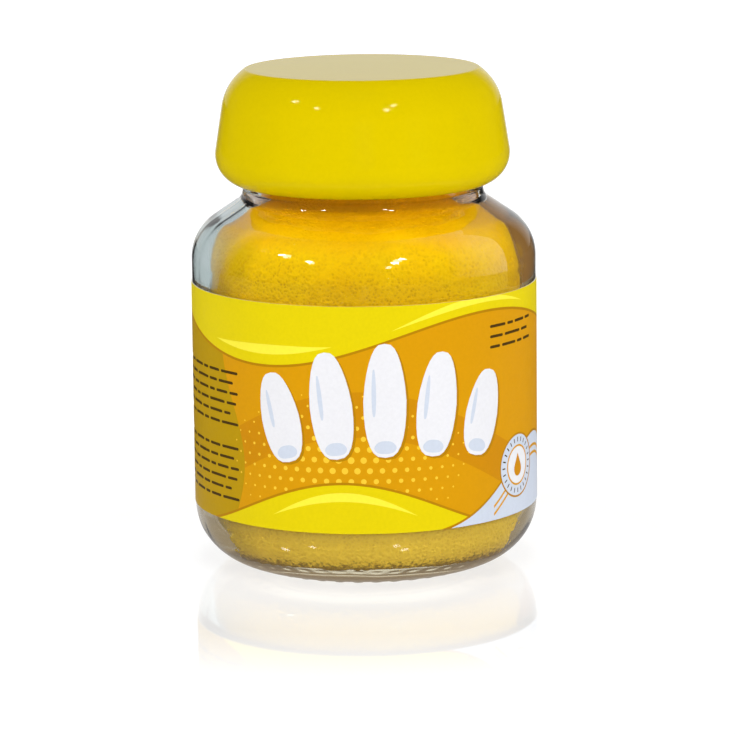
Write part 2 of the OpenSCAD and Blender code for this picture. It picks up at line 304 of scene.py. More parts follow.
@dataclass(frozen=True)
class OpenCellFoam(Finish):
    """Polyurethane foam, cast in a block, cut and soaked with remover.

    The cut opens its cells, so the surface is all fine pores between pale ribs. The pores' dark bottoms are
    painted shade. The real cells are about 0.3 mm wide. They are drawn at 0.5 mm so that they show in the
    picture. Below the shoulder the foam is deeper in colour. In the throat, under the cap, a painted shade
    makes it the deepest, and a painted shade darkens its left side. Where it lies wet on the glass below the
    label it has a paler wet tone, lightened by painted light, and a painted shadow darkens its foot along a
    ragged edge.
    """

    # The dark in the pores' bottoms is painted shade in the recesses.
    pore_shade_colour: str = "#BE7A00"
    pore_mm: float = 0.5
    pore_depth_mm: float = 0.25
    pore_relief: float = 0.7
    # Where a pore's dark bottom ends and where its rib begins, in shares of a cell.
    pore_slope: Span = (0.12, 0.5)
    rough_slope: Span = (0.1, 0.5)
    rough: Span = (0.75, 0.95)
    specular: float = 0.05
    pore_share: Span = (0.1, 0.75)
    pore_share_mm: float = 2.4
    bend_mm: float = 1.3
    bend_by_mm: float = 0.5
    patch_colour: str = "#F8C200"
    patch_mm: float = 11.0
    low_colour: str = "#F2B000"
    low_mm: Span = (40.0, 46.0)
    # The wet foam's pale tone is partly its own and partly painted light.
    soaked_painted_light_colour: str = "#FFDA48"
    soaked_mm: Span = (18.0, 24.0)
    soaked_pores: float = 0.4
    # A painted shade down the foam's left side, made ragged by noise.
    left_shade_colour: str = "#8C7600"
    left_shade_mm: Span = (-19.5, -11.0)
    left_shade: float = 0.75
    left_shade_grain_mm: float = 6.0
    left_shade_stray_mm: float = 8.0
    # A painted shadow along the foam's foot, with a ragged edge.
    foot_shadow_colour: str = "#7A5A14"
    foot_shadow_mm: Span = (5.6, 6.4)
    edge: float = 0.8
    foot_shadow_grain_mm: float = 0.6
    foot_shadow_stray_mm: float = 3.2
    # Painted shade of the cap over the foam in the throat.
    throat_shade_colour: str = "#FC9E00"
    throat_shade_mm: Span = (51.0, 60.0)
    smooth_mm: Span = (46.0, 53.0)
    smooth_pores: float = 0.3

    def surface(self, tree: Tree) -> Socket:
        """Adds the foam.

        Args:
            tree: The material's node tree.

        Returns:
            A rough shader with pores in its colour and its relief.
        """
        here = add_node(tree, "ShaderNodeTexCoord").outputs["Object"]
        inputs = {"Vector": here, "Scale": 1 / (self.bend_mm * MM), "Detail": 2.0}
        wander = add_node(tree, "ShaderNodeTexNoise", inputs).outputs["Color"]
        inputs = {0: wander, 1: (self.bend_by_mm * MM,) * 3, 2: here}
        bent = add_node(tree, "ShaderNodeVectorMath", inputs, operation="MULTIPLY_ADD").outputs[0]
        inputs = {"Vector": bent, "Scale": 1 / (self.pore_mm * MM)}
        cells = add_node(tree, "ShaderNodeTexVoronoi", inputs, feature="F1").outputs["Distance"]
        inputs = {"Value": cells, "From Min": self.pore_slope[0], "From Max": self.pore_slope[1]}
        inputs |= {"To Min": 1.0, "To Max": 0.0}
        pores = add_node(tree, "ShaderNodeMapRange", inputs).outputs["Result"]
        soaked = change(tree, Way.Z, self.soaked_mm, (1.0, 0.0))
        fewer = change(tree, Way.Z, self.smooth_mm, (1.0, self.smooth_pores))
        fewer = add_node(tree, "ShaderNodeMix", {0: soaked, 2: fewer, 3: self.soaked_pores}).outputs[0]
        for part in (grain(tree, self.pore_share_mm, spread=self.pore_share), fewer):
            pores = add_node(tree, "ShaderNodeMath", {0: pores, 1: part}, operation="MULTIPLY").outputs[0]
        left_shade_grain, foot_shadow_grain = grain(tree, self.left_shade_grain_mm, 1.0), grain(tree, self.foot_shadow_grain_mm)
        # Painted shade on the foam's left side.
        left_shade = change(tree, Way.X, self.left_shade_mm, (self.left_shade, 0.0), left_shade_grain, self.left_shade_stray_mm)
        # Painted shadow at the foam's foot.
        edge = change(tree, Way.Z, self.foot_shadow_mm, (self.edge, 0.0), foot_shadow_grain, self.foot_shadow_stray_mm)
        layers = [
            (grain(tree, self.patch_mm, 2.0, (0.0, 1.0)), self.patch_colour),
            (change(tree, Way.Z, self.low_mm, (1.0, 0.0)), self.low_colour),
            (soaked, self.soaked_painted_light_colour),
            (left_shade, self.left_shade_colour),
            (edge, self.foot_shadow_colour),
            (change(tree, Way.Z, self.throat_shade_mm, (0.0, 1.0)), self.throat_shade_colour),
            (pores, self.pore_shade_colour),
        ]
        inputs = {"Height": cells, "Strength": self.pore_relief, "Distance": self.pore_depth_mm * MM}
        bump = add_node(tree, "ShaderNodeBump", inputs)
        inputs = {"Value": cells, "From Min": self.rough_slope[0], "From Max": self.rough_slope[1]}
        inputs |= {"To Min": self.rough[0], "To Max": self.rough[1]}
        inputs = {
            "Base Color": layered(tree, self.colour, layers),
            "Roughness": add_node(tree, "ShaderNodeMapRange", inputs).outputs["Result"],
            "Specular IOR Level": self.specular,
            "Normal": bump.outputs["Normal"],
        }
        return add_node(tree, "ShaderNodeBsdfPrincipled", inputs).outputs[0]


@dataclass(frozen=True)
class PrintedFilm(Finish):
    """Ink on polypropylene film, printed by flexography and varnished.

    The ink is even, with a faint mottle, and the varnish gives a satin gloss that dulls a little in patches.
    """

    mottle_mm: float = 0.5
    mottle: float = 0.02
    ripple_mm: float = 5.0
    ripple_h_mm: float = 0.05
    ripple: float = 0.08
    gloss_mm: float = 3.0
    gloss: Span = (0.34, 0.44)
    specular: float = 0.08

    def surface(self, tree: Tree) -> Socket:
        """Adds the printed film.

        Args:
            tree: The material's node tree.

        Returns:
            A satin shader with the ink's mottle.
        """
        speckle = grain(tree, self.mottle_mm, 2.0, (1 - self.mottle, 1 + self.mottle))
        inputs = {0: 1.0, 6: linear(self.colour), 7: speckle}
        colour = add_node(tree, "ShaderNodeMix", inputs, data_type="RGBA", blend_type="MULTIPLY").outputs[2]
        waves = grain(tree, self.ripple_mm, 1.0)
        inputs = {"Height": waves, "Strength": self.ripple, "Distance": self.ripple_h_mm * MM}
        bump = add_node(tree, "ShaderNodeBump", inputs)
        inputs = {
            "Base Color": colour,
            "Roughness": grain(tree, self.gloss_mm, spread=self.gloss),
            "Specular IOR Level": self.specular,
            "Normal": bump.outputs["Normal"],
        }
        return add_node(tree, "ShaderNodeBsdfPrincipled", inputs).outputs[0]


@dataclass(frozen=True)
class Thermoplastic(Finish):
    """A plastic that was formed while it was soft.

    It sets a little unevenly, which shows as shallow waves in the reflections, and its tone is faintly
    mottled. Its far side can carry a painted glow, an emission that only rays through glass see, with no
    lamp behind it.
    """

    gloss: Span = (0.1, 0.16)
    gloss_mm: float = 7.0
    flow_mm: float = 16.0
    flow_h_mm: float = 0.5
    flow: float = 0.05
    tone_mm: float = 0.6
    tone: float = 0.015
    ior: float = 1.49
    specular: float = 0.11
    # The colour of a painted glow on the far side, seen only through glass. Black gives none.
    painted_far_glow_colour: str = "#000000"
    far_side_mm: Span = (-8.0, 0.0)

    def surface(self, tree: Tree) -> Socket:
        """Adds the plastic.

        Args:
            tree: The material's node tree.

        Returns:
            A glossy or satin shader with shallow waves.
        """
        waves = grain(tree, self.flow_mm, 1.0)
        inputs = {"Height": waves, "Strength": self.flow, "Distance": self.flow_h_mm * MM}
        bump = add_node(tree, "ShaderNodeBump", inputs)
        tone = grain(tree, self.tone_mm, 2.0, (1 - self.tone, 1 + self.tone))
        inputs = {0: 1.0, 6: linear(self.colour), 7: tone}
        colour = add_node(tree, "ShaderNodeMix", inputs, data_type="RGBA", blend_type="MULTIPLY").outputs[2]
        where = add_node(tree, "ShaderNodeNewGeometry").outputs["Position"]
        depth = add_node(tree, "ShaderNodeSeparateXYZ", {0: where}).outputs["Y"]
        inputs = {"Value": depth, "From Min": self.far_side_mm[0] * MM, "From Max": self.far_side_mm[1] * MM}
        far_side = add_node(tree, "ShaderNodeMapRange", inputs).outputs["Result"]
        # Painted glow on the far side, for rays that come through glass.
        through = add_node(tree, "ShaderNodeLightPath").outputs["Is Transmission Ray"]
        glow = add_node(tree, "ShaderNodeMath", {0: through, 1: far_side}, operation="MULTIPLY").outputs[0]
        inputs = {
            "Base Color": colour,
            "Roughness": grain(tree, self.gloss_mm, spread=self.gloss),
            "IOR": self.ior,
            "Specular IOR Level": self.specular,
            "Normal": bump.outputs["Normal"],
            "Emission Color": linear(self.painted_far_glow_colour),
            "Emission Strength": glow,
        }
        return add_node(tree, "ShaderNodeBsdfPrincipled", inputs).outputs[0]


@dataclass(frozen=True)
class MouldedPolypropylene(Thermoplastic):
    """Polypropylene, injection moulded. The mould's polish sets its gloss, and its waves are very long."""


@dataclass(frozen=True)
class ExpandedPolyethylene(Thermoplastic):
    """Foamed polyethylene sheet with a dull skin. The fine cells under the skin show as small dimples."""

    gloss: Span = (0.6, 0.8)
    flow_mm: float = 1.2
    flow: float = 0.3


@dataclass(frozen=True)
class PolishedTable(Finish):
    """White lacquered board with a polished clear coat.

    It mirrors what stands on it faintly, and the mirror image dies away with the distance from the object.
    The camera sees a white board that keeps the object's shadow. Through the glass the board is cream under
    the jar's middle and brown at its sides, and in mirror images it is bright only straight behind the jar.
    """

    roughness: float = 0.6
    mirror_roughness: float = 0.03
    mirror: float = 0.32
    mirror_mm: Span = (46.0, 92.0)
    mirror_at_foot: float = 0.6
    foot_mm: Span = (32.0, 50.0)
    # The board's own level as the camera sees it, near the jar and far from it.
    glow: Span = (0.84, 1.0)
    glow_mm: Span = (100.0, 260.0)
    in_view: str = "#9C9C9C"
    # The level that lights matt surfaces near the jar.
    bounce: float = 0.5
    bounce_mm: Span = (100.0, 300.0)
    # The least level in mirror images close to the jar. Straight behind the jar it is full.
    sheen: float = 0.6
    straight_behind: Span = (0.93, 0.995)
    in_mirrors: str = "#505050"
    through: Span = (0.3, 0.9)
    ahead_mm: Span = (-60.0, -40.0)
    through_base: str = "#E6DFC4"
    through_heel: str = "#A08858"
    heel_mm: Span = (12.0, 19.0)

    def surface(self, tree: Tree) -> Socket:
        """Adds the table's top.

        Args:
            tree: The material's node tree.

        Returns:
            A pale matt shader with a faint mirror over it.
        """
        here = add_node(tree, "ShaderNodeTexCoord").outputs["Object"]
        reach = add_node(tree, "ShaderNodeVectorMath", {0: here}, operation="LENGTH").outputs["Value"]
        parts = add_node(tree, "ShaderNodeSeparateXYZ", {0: here}).outputs
        rays = add_node(tree, "ShaderNodeLightPath").outputs
        inputs = {"Value": reach, "From Min": self.mirror_mm[0] * MM, "From Max": self.mirror_mm[1] * MM}
        inputs |= {"To Min": self.mirror, "To Max": 0.0}
        fade = add_node(tree, "ShaderNodeMapRange", inputs, interpolation_type="SMOOTHSTEP").outputs["Result"]
        near = change(tree, Way.REACH, self.foot_mm, (self.mirror_at_foot, 1.0))
        fade = add_node(tree, "ShaderNodeMath", {0: fade, 1: near}, operation="MULTIPLY").outputs[0]
        behind = add_node(tree, "ShaderNodeMath", {0: parts["Y"], 1: reach}, operation="DIVIDE").outputs[0]
        inputs = {"Value": behind, "From Min": self.straight_behind[0], "From Max": self.straight_behind[1]}
        behind = add_node(tree, "ShaderNodeMapRange", inputs).outputs["Result"]
        sheen = add_node(tree, "ShaderNodeMath", {0: fade, 1: self.sheen / self.mirror}, operation="MULTIPLY")
        inputs = {0: sheen.outputs[0], 1: behind}
        sheen = add_node(tree, "ShaderNodeMath", inputs, operation="MAXIMUM").outputs[0]
        bounce = change(tree, Way.REACH, self.bounce_mm, (self.bounce, 0.0))
        through = change(tree, Way.Y, self.ahead_mm, self.through)
        glow = by_ray(tree, bounce, sheen, through, change(tree, Way.REACH, self.glow_mm, self.glow))
        ahead = change(tree, Way.Y, self.ahead_mm, (1.0, 0.0))
        inputs = {0: ahead, 1: rays["Is Transmission Ray"]}
        dim = add_node(tree, "ShaderNodeMath", inputs, operation="MULTIPLY").outputs[0]
        inputs = {0: dim, 1: rays["Is Glossy Ray"]}
        dim = add_node(tree, "ShaderNodeMath", inputs, operation="MAXIMUM").outputs[0]
        aside = add_node(tree, "ShaderNodeMath", {0: parts["X"]}, operation="ABSOLUTE").outputs[0]
        inputs = {"Value": aside, "From Min": self.heel_mm[0] * MM, "From Max": self.heel_mm[1] * MM}
        aside = add_node(tree, "ShaderNodeMapRange", inputs).outputs["Result"]
        through_colour = layered(tree, self.through_base, [(aside, self.through_heel)])
        colours = [(dim, self.in_mirrors), (rays["Is Camera Ray"], self.in_view)]
        inputs = {
            "Base Color": layered(tree, self.colour, colours),
            "Roughness": self.roughness,
            "Specular IOR Level": 0.0,
            "Emission Color": layered(tree, WHITE, [(rays["Is Transmission Ray"], through_colour)]),
            "Emission Strength": glow,
        }
        board = add_node(tree, "ShaderNodeBsdfPrincipled", inputs)
        inputs = {"Color": linear(WHITE), "Roughness": self.mirror_roughness}
        mirror = add_node(tree, "ShaderNodeBsdfGlossy", inputs)
        inputs = {0: fade, 1: board.outputs[0], 2: mirror.outputs[0]}
        return add_node(tree, "ShaderNodeMixShader", inputs).outputs[0]


def unit(vector: np.ndarray) -> np.ndarray:
    """Returns the vector at length 1."""
    return vector / np.linalg.norm(vector)


def arc(centre: Point, radius: float, start: float, end: float, steps: int) -> list[Point]:
    """Lists points on an arc.

    Args:
        centre: Its centre.
        radius: Its radius.
        start: Its first angle in degrees.
        end: Its last angle in degrees.
        steps: How many chords it has.

    Returns:
        The points, both ends among them.
    """
    angles = np.radians(np.linspace(start, end, steps + 1))
    return [(centre[0] + radius * math.cos(a), centre[1] + radius * math.sin(a)) for a in angles]


def fillet(before: Point, corner: Corner, after: Point, steps: int) -> list[Point]:
    """Rounds one corner.

    Args:
        before: The point before the corner.
        corner: Its radius from the axis, its height and its rounding.
        after: The point after it.
        steps: How many chords the rounding has.

    Returns:
        The rounding's points.
    """
    here = np.array(corner[:2])
    u, v = unit(np.array(before) - here), unit(np.array(after) - here)
    half = math.acos(float(u @ v)) / 2
    centre = here + unit(u + v) * corner[2] / math.sin(half)
    first = here + u * corner[2] / math.tan(half) - centre
    last = here + v * corner[2] / math.tan(half) - centre
    start = math.degrees(math.atan2(first[1], first[0]))
    turn = math.degrees(math.atan2(last[1], last[0])) - start
    turn = (turn + 180) % 360 - 180
    return arc((centre[0], centre[1]), corner[2], start, start + turn, steps)


def rounded(path: Sequence[Corner], steps: int = 12) -> list[Point]:
    """Rounds the corners of a path whose two ends stay sharp.

    Args:
        path: Radius from the axis, height and rounding of each corner.
        steps: How many chords a full rounding has. A smaller one has fewer.

    Returns:
        The path's points.
    """
    found: list[Point] = []
    for k, corner in enumerate(path):
        if corner[2] > 0:
            chords = max(FEWEST_CHORDS, min(steps, round(steps * corner[2] / FULL_ROUNDING)))
            found += fillet(path[k - 1][:2], corner, path[k + 1][:2], chords)
        else:
            found.append(corner[:2])
    return found


def dome(reach: float, rise: float, z: float, steps: int) -> list[Point]:
    """Lists points on a shallow dome, from its top on the axis outward.

    Args:
        reach: Its radius at its foot.
        rise: Its height.
        z: The height of its foot.
        steps: How many chords it has.

    Returns:
        The points.
    """
    radius = (reach * reach + rise * rise) / (2 * rise)
    half = math.degrees(math.asin(reach / radius))
    return arc((0.0, z + rise - radius), radius, 90.0, 90.0 - half, steps)


def refined(path: Sequence[Point], longest: float) -> np.ndarray:
    """Drops doubled points of a path and splits its long steps.

    Args:
        path: The path's points.
        longest: The longest step that stays whole.

    Returns:
        The points, one a row.
    """
    found = [np.array(path[0])]
    for point in path[1:]:
        step = np.array(point) - found[-1]
        length = float(np.linalg.norm(step))
        if length < 1e-6:
            continue
        parts = max(1, math.ceil(length / longest))
        start = found[-1]
        found += [start + step * k / parts for k in range(1, parts + 1)]
    return np.array(found)


@dataclass(frozen=True)
class Turning:
    """A form turned round the Z axis, with a relief on its surface.

    The path runs from the axis to the axis with the material on its left as it goes out along the bottom,
    up the outside and back in.
    """

    path: np.ndarray
    segments: int
    relief: Relief | None = None

    def mesh(self, name: str) -> bpy.types.Mesh:
        """Builds the mesh.

        Args:
            name: The mesh's name.

        Returns:
            A closed mesh in metres.
        """
        rows, n = self.path[1:-1], self.segments
        step = np.gradient(self.path, axis=0)[1:-1]
        normal = np.stack([step[:, 1], -step[:, 0]], 1)
        normal /= np.maximum(np.linalg.norm(normal, axis=1, keepdims=True), 1e-9)
        angle = np.arange(n) * 2 * math.pi / n
        r = np.repeat(rows[:, :1], n, 1)
        z = np.repeat(rows[:, 1:], n, 1)
        if self.relief:
            proud = self.relief(rows[:, :1], rows[:, 1:], angle[None, :])
            r, z = r + normal[:, :1] * proud, z + normal[:, 1:] * proud
        points = np.stack([r * np.cos(angle), r * np.sin(angle), z], 2).reshape(-1, 3)
        first, last = len(points), len(points) + 1
        ends = [(0.0, 0.0, self.path[0, 1]), (0.0, 0.0, self.path[-1, 1])]
        points = np.concatenate([points, ends]) * MM
        here = np.arange(n)
        after = (here + 1) % n
        quads = []
        for k in range(len(rows) - 1):
            a, b = k * n, (k + 1) * n
            quads.append(np.stack([a + here, a + after, b + after, b + here], 1))
        top = (len(rows) - 1) * n
        caps = [(first, int(j), int(i)) for i, j in zip(here, after, strict=True)]
        caps += [(int(top + i), int(top + j), last) for i, j in zip(here, after, strict=True)]
        mesh = bpy.data.meshes.new(name)
        mesh.from_pydata(points.tolist(), [], np.concatenate(quads).tolist() + caps)
        mesh.shade_smooth()
        return mesh


def place(name: str, mesh: bpy.types.Mesh, body: str, node: str) -> bpy.types.Object:
    """Puts a dressed piece in the scene for a node of the frame.

    Args:
        name: The piece's name.
        mesh: Its mesh.
        body: The body that it rides on.
        node: The node that it stands for.

    Returns:
        The piece.
    """
    piece = bpy.data.objects.new(name, mesh)
    bpy.context.scene.collection.objects.link(piece)
    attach(piece, body)
    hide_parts(node)
    log.info("%s: %d faces", name, len(mesh.polygons))
    return piece


@dataclass(frozen=True)
class ScrewThread:
    """A helical thread as a relief on a straight wall. Its upper end is on +X."""

    top: float
    turns: float
    depth: float
    root_w: float
    crest_w: float
    lead: float = 4.23
    run_out: float = 40.0

    def relief(self, z: np.ndarray, angle: np.ndarray) -> np.ndarray:
        """Gives the thread's height over its wall.

        Args:
            z: Heights, one a row.
            angle: Angles round the axis in radians, one a column.

        Returns:
            The height at each place.
        """
        span = 360 * self.turns
        found = np.zeros(np.broadcast(z, angle).shape)
        for turn in range(math.ceil(self.turns) + 1):
            along = np.degrees(angle) - 360 * turn + span
            middle = self.top - self.lead * self.turns + self.lead * along / 360
            grow = np.clip(np.minimum(along, span - along) / self.run_out, 0, 1)
            off = np.abs(z - middle)
            flank = np.clip((self.root_w / 2 - off) / (self.root_w / 2 - self.crest_w / 2), 0, 1)
            found = np.maximum(found, self.depth * grow * flank * flank * (3 - 2 * flank))
        return found


@dataclass
class GlassJar:
    """The jar in one piece, with its threaded finish and the knurls round its base."""

    finish: Finish
    inside_finish: Finish
    # The body, its base and its floor.
    radius: float = 27.0
    rim_z: float = 71.0
    inner_r: float = 24.5
    heel_r: float = 9.4
    stand_inner_r: float = 16.4
    push_up: float = 1.4
    floor_z: float = 3.0
    floor_rise: float = 0.7
    floor_corner_r: float = 6.0
    # The finish that takes the cap, and the neck under it.
    bore_r: float = 14.5
    finish_r: float = 17.5
    rim_round: float = 0.9
    neck_r: float = 18.85
    step_z: float = 59.2
    step_top_z: float = 60.5
    step_round: float = 0.4
    # The shoulder. Its line meets the body's at shoulder_z.
    shoulder_slope: float = 34.0
    shoulder_z: float = 52.303
    shoulder_round: float = 7.5
    neck_blend: float = 2.2
    shoulder_wall: float = 2.3
    bore_blend: float = 10.0
    inner_shoulder_r: float = 7.5
    # The bars round the base, then the two seams that the mould leaves.
    knurls: int = 42
    knurl_l: float = 1.6
    knurl_w: float = 1.1
    knurl_flank: float = 0.12
    seam: float = 0.07
    seam_w: float = 0.45
    seam_angle: float = 9.0
    seam_foot_z: float = 1.0
    seam_run_in: float = 3.0
    seam_run_out: float = 2.0
    # The waves of the inside, which are full beyond the second radius of wave_r.
    wave_h: float = 0.05
    wave_r: Span = (6.0, 16.0)
    wave_drop: float = 0.5
    wave_run_out: float = 4.0
    # For each set of waves: how many go round, their lean, their start and their share of the height.
    waves: tuple[tuple[int, float, float, float], ...] = (
        (3, 0.11, 1.3, 1.0),
        (5, -0.17, 0.4, 0.8),
        (8, 0.31, 2.2, 0.6),
        (13, -0.52, 0.0, 0.5),
    )
    rim_rows: int = 8
    segments: int = 252
    thread: ScrewThread = ScrewThread(68.9, 1.253, 1.15, 2.1, 0.9)

    def shoulder_at(self, r: float, depth: float) -> float:
        """Gives the shoulder's height at a radius, a depth of glass below its surface.

        Args:
            r: The radius.
            depth: The depth, square to the slope.

        Returns:
            The height.
        """
        slope = math.radians(self.shoulder_slope)
        return self.shoulder_z + (self.radius - r) * math.tan(slope) - depth / math.cos(slope)

    def path(self) -> np.ndarray:
        """Builds the section, out along the base, up the outside and down the inside.

        Returns:
            The section's points.
        """
        wall = self.shoulder_wall
        outside = [
            (self.stand_inner_r, 0.0, 0.0),
            (self.radius, 0.0, self.heel_r),
            (self.radius, self.shoulder_z, self.shoulder_round),
            (self.neck_r, self.shoulder_at(self.neck_r, 0), self.neck_blend),
            (self.neck_r, self.step_z, self.step_round),
            (self.finish_r, self.step_top_z, self.step_round),
            (self.finish_r, self.rim_z, self.rim_round),
        ]
        inside = [
            (self.bore_r, self.rim_z, self.rim_round),
            (self.bore_r, self.shoulder_at(self.bore_r, wall), self.bore_blend),
            (self.inner_r, self.shoulder_at(self.inner_r, wall), self.inner_shoulder_r),
            (self.inner_r, self.floor_z, self.floor_corner_r),
            (0.0, self.floor_z, 0.0),
        ]
        base = refined(dome(self.stand_inner_r, self.push_up, z=0.0, steps=24), longest=1.0)
        body = refined(rounded(outside + inside, steps=28)[:-1], longest=1.2)
        floor = dome(self.inner_r - self.floor_corner_r, self.floor_rise, self.floor_z, steps=16)[::-1]
        rows = np.concatenate([base, body, np.array(floor[1:])])
        return self.with_fine_finish(rows)

    def with_fine_finish(self, rows: np.ndarray) -> np.ndarray:
        """Splits the finish's straight wall finely, for the thread.

        Args:
            rows: The section.

        Returns:
            The section with more points there.
        """
        found = [rows[0]]
        for point in rows[1:]:
            start = found[-1]
            on_wall = all(abs(end[0] - self.finish_r) < ON_WALL for end in (start, point))
            parts = max(1, math.ceil(float(np.linalg.norm(point - start)) / THREAD_STEP)) if on_wall else 1
            found += [start + (point - start) * k / parts for k in range(1, parts + 1)]
        return np.array(found)

    def relief(self, r: np.ndarray, z: np.ndarray, angle: np.ndarray) -> np.ndarray:
        """Gives the thread, the knurls, the mould's seams and the waves of the inside.

        Args:
            r: Radii, one a row.
            z: Heights, one a row.
            angle: Angles in radians, one a column.

        Returns:
            How far the surface stands out at each place.
        """
        rim = int(np.argmax(z[:, 0] > self.rim_z - 1e-6))
        row = np.arange(len(r))[:, None]
        outside = row < rim
        on_finish = outside & (np.abs(r - self.finish_r) < ON_WALL)
        found = np.where(on_finish, self.thread.relief(z, angle), 0.0)
        ring_r = self.radius - self.heel_r
        under = outside & (z < self.push_up) & (r > ring_r) & (r < ring_r + self.knurl_l)
        across = np.abs((angle * self.knurls / (2 * math.pi) + 0.5) % 1 - 0.5) * 2 * math.pi / self.knurls * r
        knurl = np.clip((self.knurl_w / 2 + self.knurl_flank - across) / (2 * self.knurl_flank), 0, 1)
        found = found + np.where(under, knurl * z, 0.0)
        height = np.clip((z - self.seam_foot_z) / self.seam_run_in, 0, 1)
        height = height * np.clip((self.step_z - z) / self.seam_run_out, 0, 1)
        for side in (0.0, math.pi):
            off = (angle - math.radians(self.seam_angle) - side + math.pi) % (2 * math.pi) - math.pi
            ridge = np.exp(-((off * r / (self.seam_w / 2)) ** 2))
            found = found + np.where(outside, self.seam * ridge * height, 0.0)
        swell = np.zeros(np.broadcast(z, angle).shape)
        for count, lean, start, share in self.waves:
            swell = swell + share * np.sin(count * angle + lean * z + start)
        fade = np.clip((r - self.wave_r[0]) / (self.wave_r[1] - self.wave_r[0]), 0, 1)
        fade = fade * np.clip((self.rim_z - self.wave_drop - z) / self.wave_run_out, 0, 1)
        return found + np.where(row > rim + self.rim_rows, self.wave_h * swell * fade, 0.0)

    def build(self) -> None:
        """Builds and dresses the jar."""
        path = self.path()
        mesh = Turning(path, self.segments, self.relief).mesh("glass_jar_form")
        mesh.materials.append(self.finish.material())
        mesh.materials.append(self.inside_finish.material())
        rim = int(np.argmax(path[:, 1]))
        inside = [int(face.index >= rim * self.segments) for face in mesh.polygons]
        mesh.polygons.foreach_set("material_index", inside)
        place("jar_glass", mesh, "jar", "glass_jar")


@dataclass
class FoamSponge:
    """The foam that fills the jar, with a finger well down its middle.

    Below the label it lies wet on the glass from wet_left to wet_right, in degrees either side of the front.
    """

    finish: Finish
    jar: GlassJar
    gap: float = 0.3
    top_z: float = 65.8
    edge_r: float = 1.6
    well_r: float = 6.5
    well_z: float = 12.0
    well_mouth_r: float = 2.2
    well_corner_r: float = 4.5
    wet_foot_z: float = 3.9
    wet_top_z: float = 26.0
    wet_from_r: float = 18.6
    wet_left: float = 60.0
    wet_right: float = 67.0
    wet_blur: float = 6.0
    foot_fine: float = 0.15
    foot_cut: float = 0.1
    foot_rise: float = 0.3
    # How far the wet foam reaches past the straight line of the glass, into the waves.
    press: float = 0.16
    # The coarse and the fine unevenness of the cut.
    cut_mm: float = 2.2
    fine_mm: float = 0.7
    fine_from: tuple[float, float, float] = (7.0, 3.0, 5.0)
    cut_depth: float = 0.05
    segments: int = 296

    def path(self) -> np.ndarray:
        """Builds the section, out along the base, up the side and down the well.

        Returns:
            The section's points.
        """
        jar, gap = self.jar, self.gap
        side_r, throat_r, depth = jar.inner_r - gap, jar.bore_r - gap, jar.shoulder_wall + gap
        base_z, floor_r = jar.floor_z + gap, jar.inner_r - jar.floor_corner_r
        outline = rounded(
            [
                (0.0, base_z, 0.0),
                (side_r, base_z, jar.floor_corner_r - gap),
                (side_r, jar.shoulder_at(side_r, depth), jar.inner_shoulder_r - gap),
                (throat_r, jar.shoulder_at(throat_r, depth), jar.bore_blend + gap),
                (throat_r, self.top_z, self.edge_r),
                (self.well_r, self.top_z, self.well_mouth_r),
                (self.well_r, self.well_z, self.well_corner_r),
                (0.0, self.well_z, 0.0),
            ]
        )
        bottom = dome(floor_r, jar.floor_rise, base_z, steps=10)
        return refined(bottom[:-1] + outline[1:], longest=0.55)

    def relief(self, r: np.ndarray, z: np.ndarray, angle: np.ndarray) -> np.ndarray:
        """Gives the uneven cut of the foam. Its soaked part swells onto the glass, down to a jagged edge.

        Args:
            r: Radii, one a row.
            z: Heights, one a row.
            angle: Angles in radians, one a column.

        Returns:
            How far the surface stands out at each place.
        """
        x, y = r * np.cos(angle), r * np.sin(angle)
        height = np.broadcast_to(z, x.shape)
        places = np.stack([x, y, height], 2).reshape(-1, 3)
        start = Vector(self.fine_from)
        cut = np.array([noise.noise(Vector(p) / self.cut_mm) for p in places]).reshape(x.shape)
        fine = np.array([noise.noise(Vector(p) / self.fine_mm + start) for p in places]).reshape(x.shape)
        dry = -self.cut_depth * (1 + cut) - self.cut_depth * (1 + fine)
        wet = z - self.wet_foot_z - self.foot_fine * fine - self.foot_cut * cut
        wet = np.clip(wet / self.foot_rise, 0, 1)
        side = np.degrees((angle + 1.5 * math.pi) % (2 * math.pi)) - 180
        wet = wet * np.clip((self.wet_left + side) / self.wet_blur + fine, 0, 1)
        wet = wet * np.clip((self.wet_right - side) / self.wet_blur + fine, 0, 1)
        wet = wet * np.clip((self.wet_top_z - z) / self.wet_blur, 0, 1) * (r > self.wet_from_r)
        return dry * (1 - wet) + (self.gap + self.press) * wet

    def build(self) -> None:
        """Builds and dresses the sponge."""
        mesh = Turning(self.path(), self.segments, self.relief).mesh("sponge_form")
        mesh.materials.append(self.finish.material())
        piece = place("foam_sponge", mesh, "jar", "sponge")


class Ink(Enum):
    """The inks of the label, from the ground up."""

    GOLD = "#CE9200"
    AMBER = "#C48400"
    # A printed panel ink, made darker still as painted shade on the label's left side.
    OLIVE = "#B28E00"
    SHADE = "#AE7A00"
    YELLOW = "#DAC600"
    LEMON = "#F0E23C"
    PALE_GOLD = "#E9C032"
    MIST = "#C4CCDA"
    WHITE = "#DEDEE2"
    DARK = "#4A3610"
    BACK = "#E9E6DA"


@dataclass(frozen=True)
class Print:
    """One printed area: an ink and its outline, along the film and up it."""

    ink: Ink
    outline: tuple[Point, ...]


@dataclass(frozen=True)
class Swell:
    """A level line along the film that rises and falls."""

    level: float
    rise: float
    start: float
    length: float

    def __call__(self, s: float) -> float:
        """Gives the line's height at a place along the film."""
        return self.level + self.rise * math.sin((s - self.start) / self.length)


@dataclass(frozen=True)
class Hill:
    """A level line along the film with one hill in it."""

    level: float
    rise: float
    middle: float
    width: float

    def __call__(self, s: float) -> float:
        """Gives the line's height at a place along the film."""
        return self.rise * math.exp(-(((s - self.middle) / self.width) ** 2)) + self.level


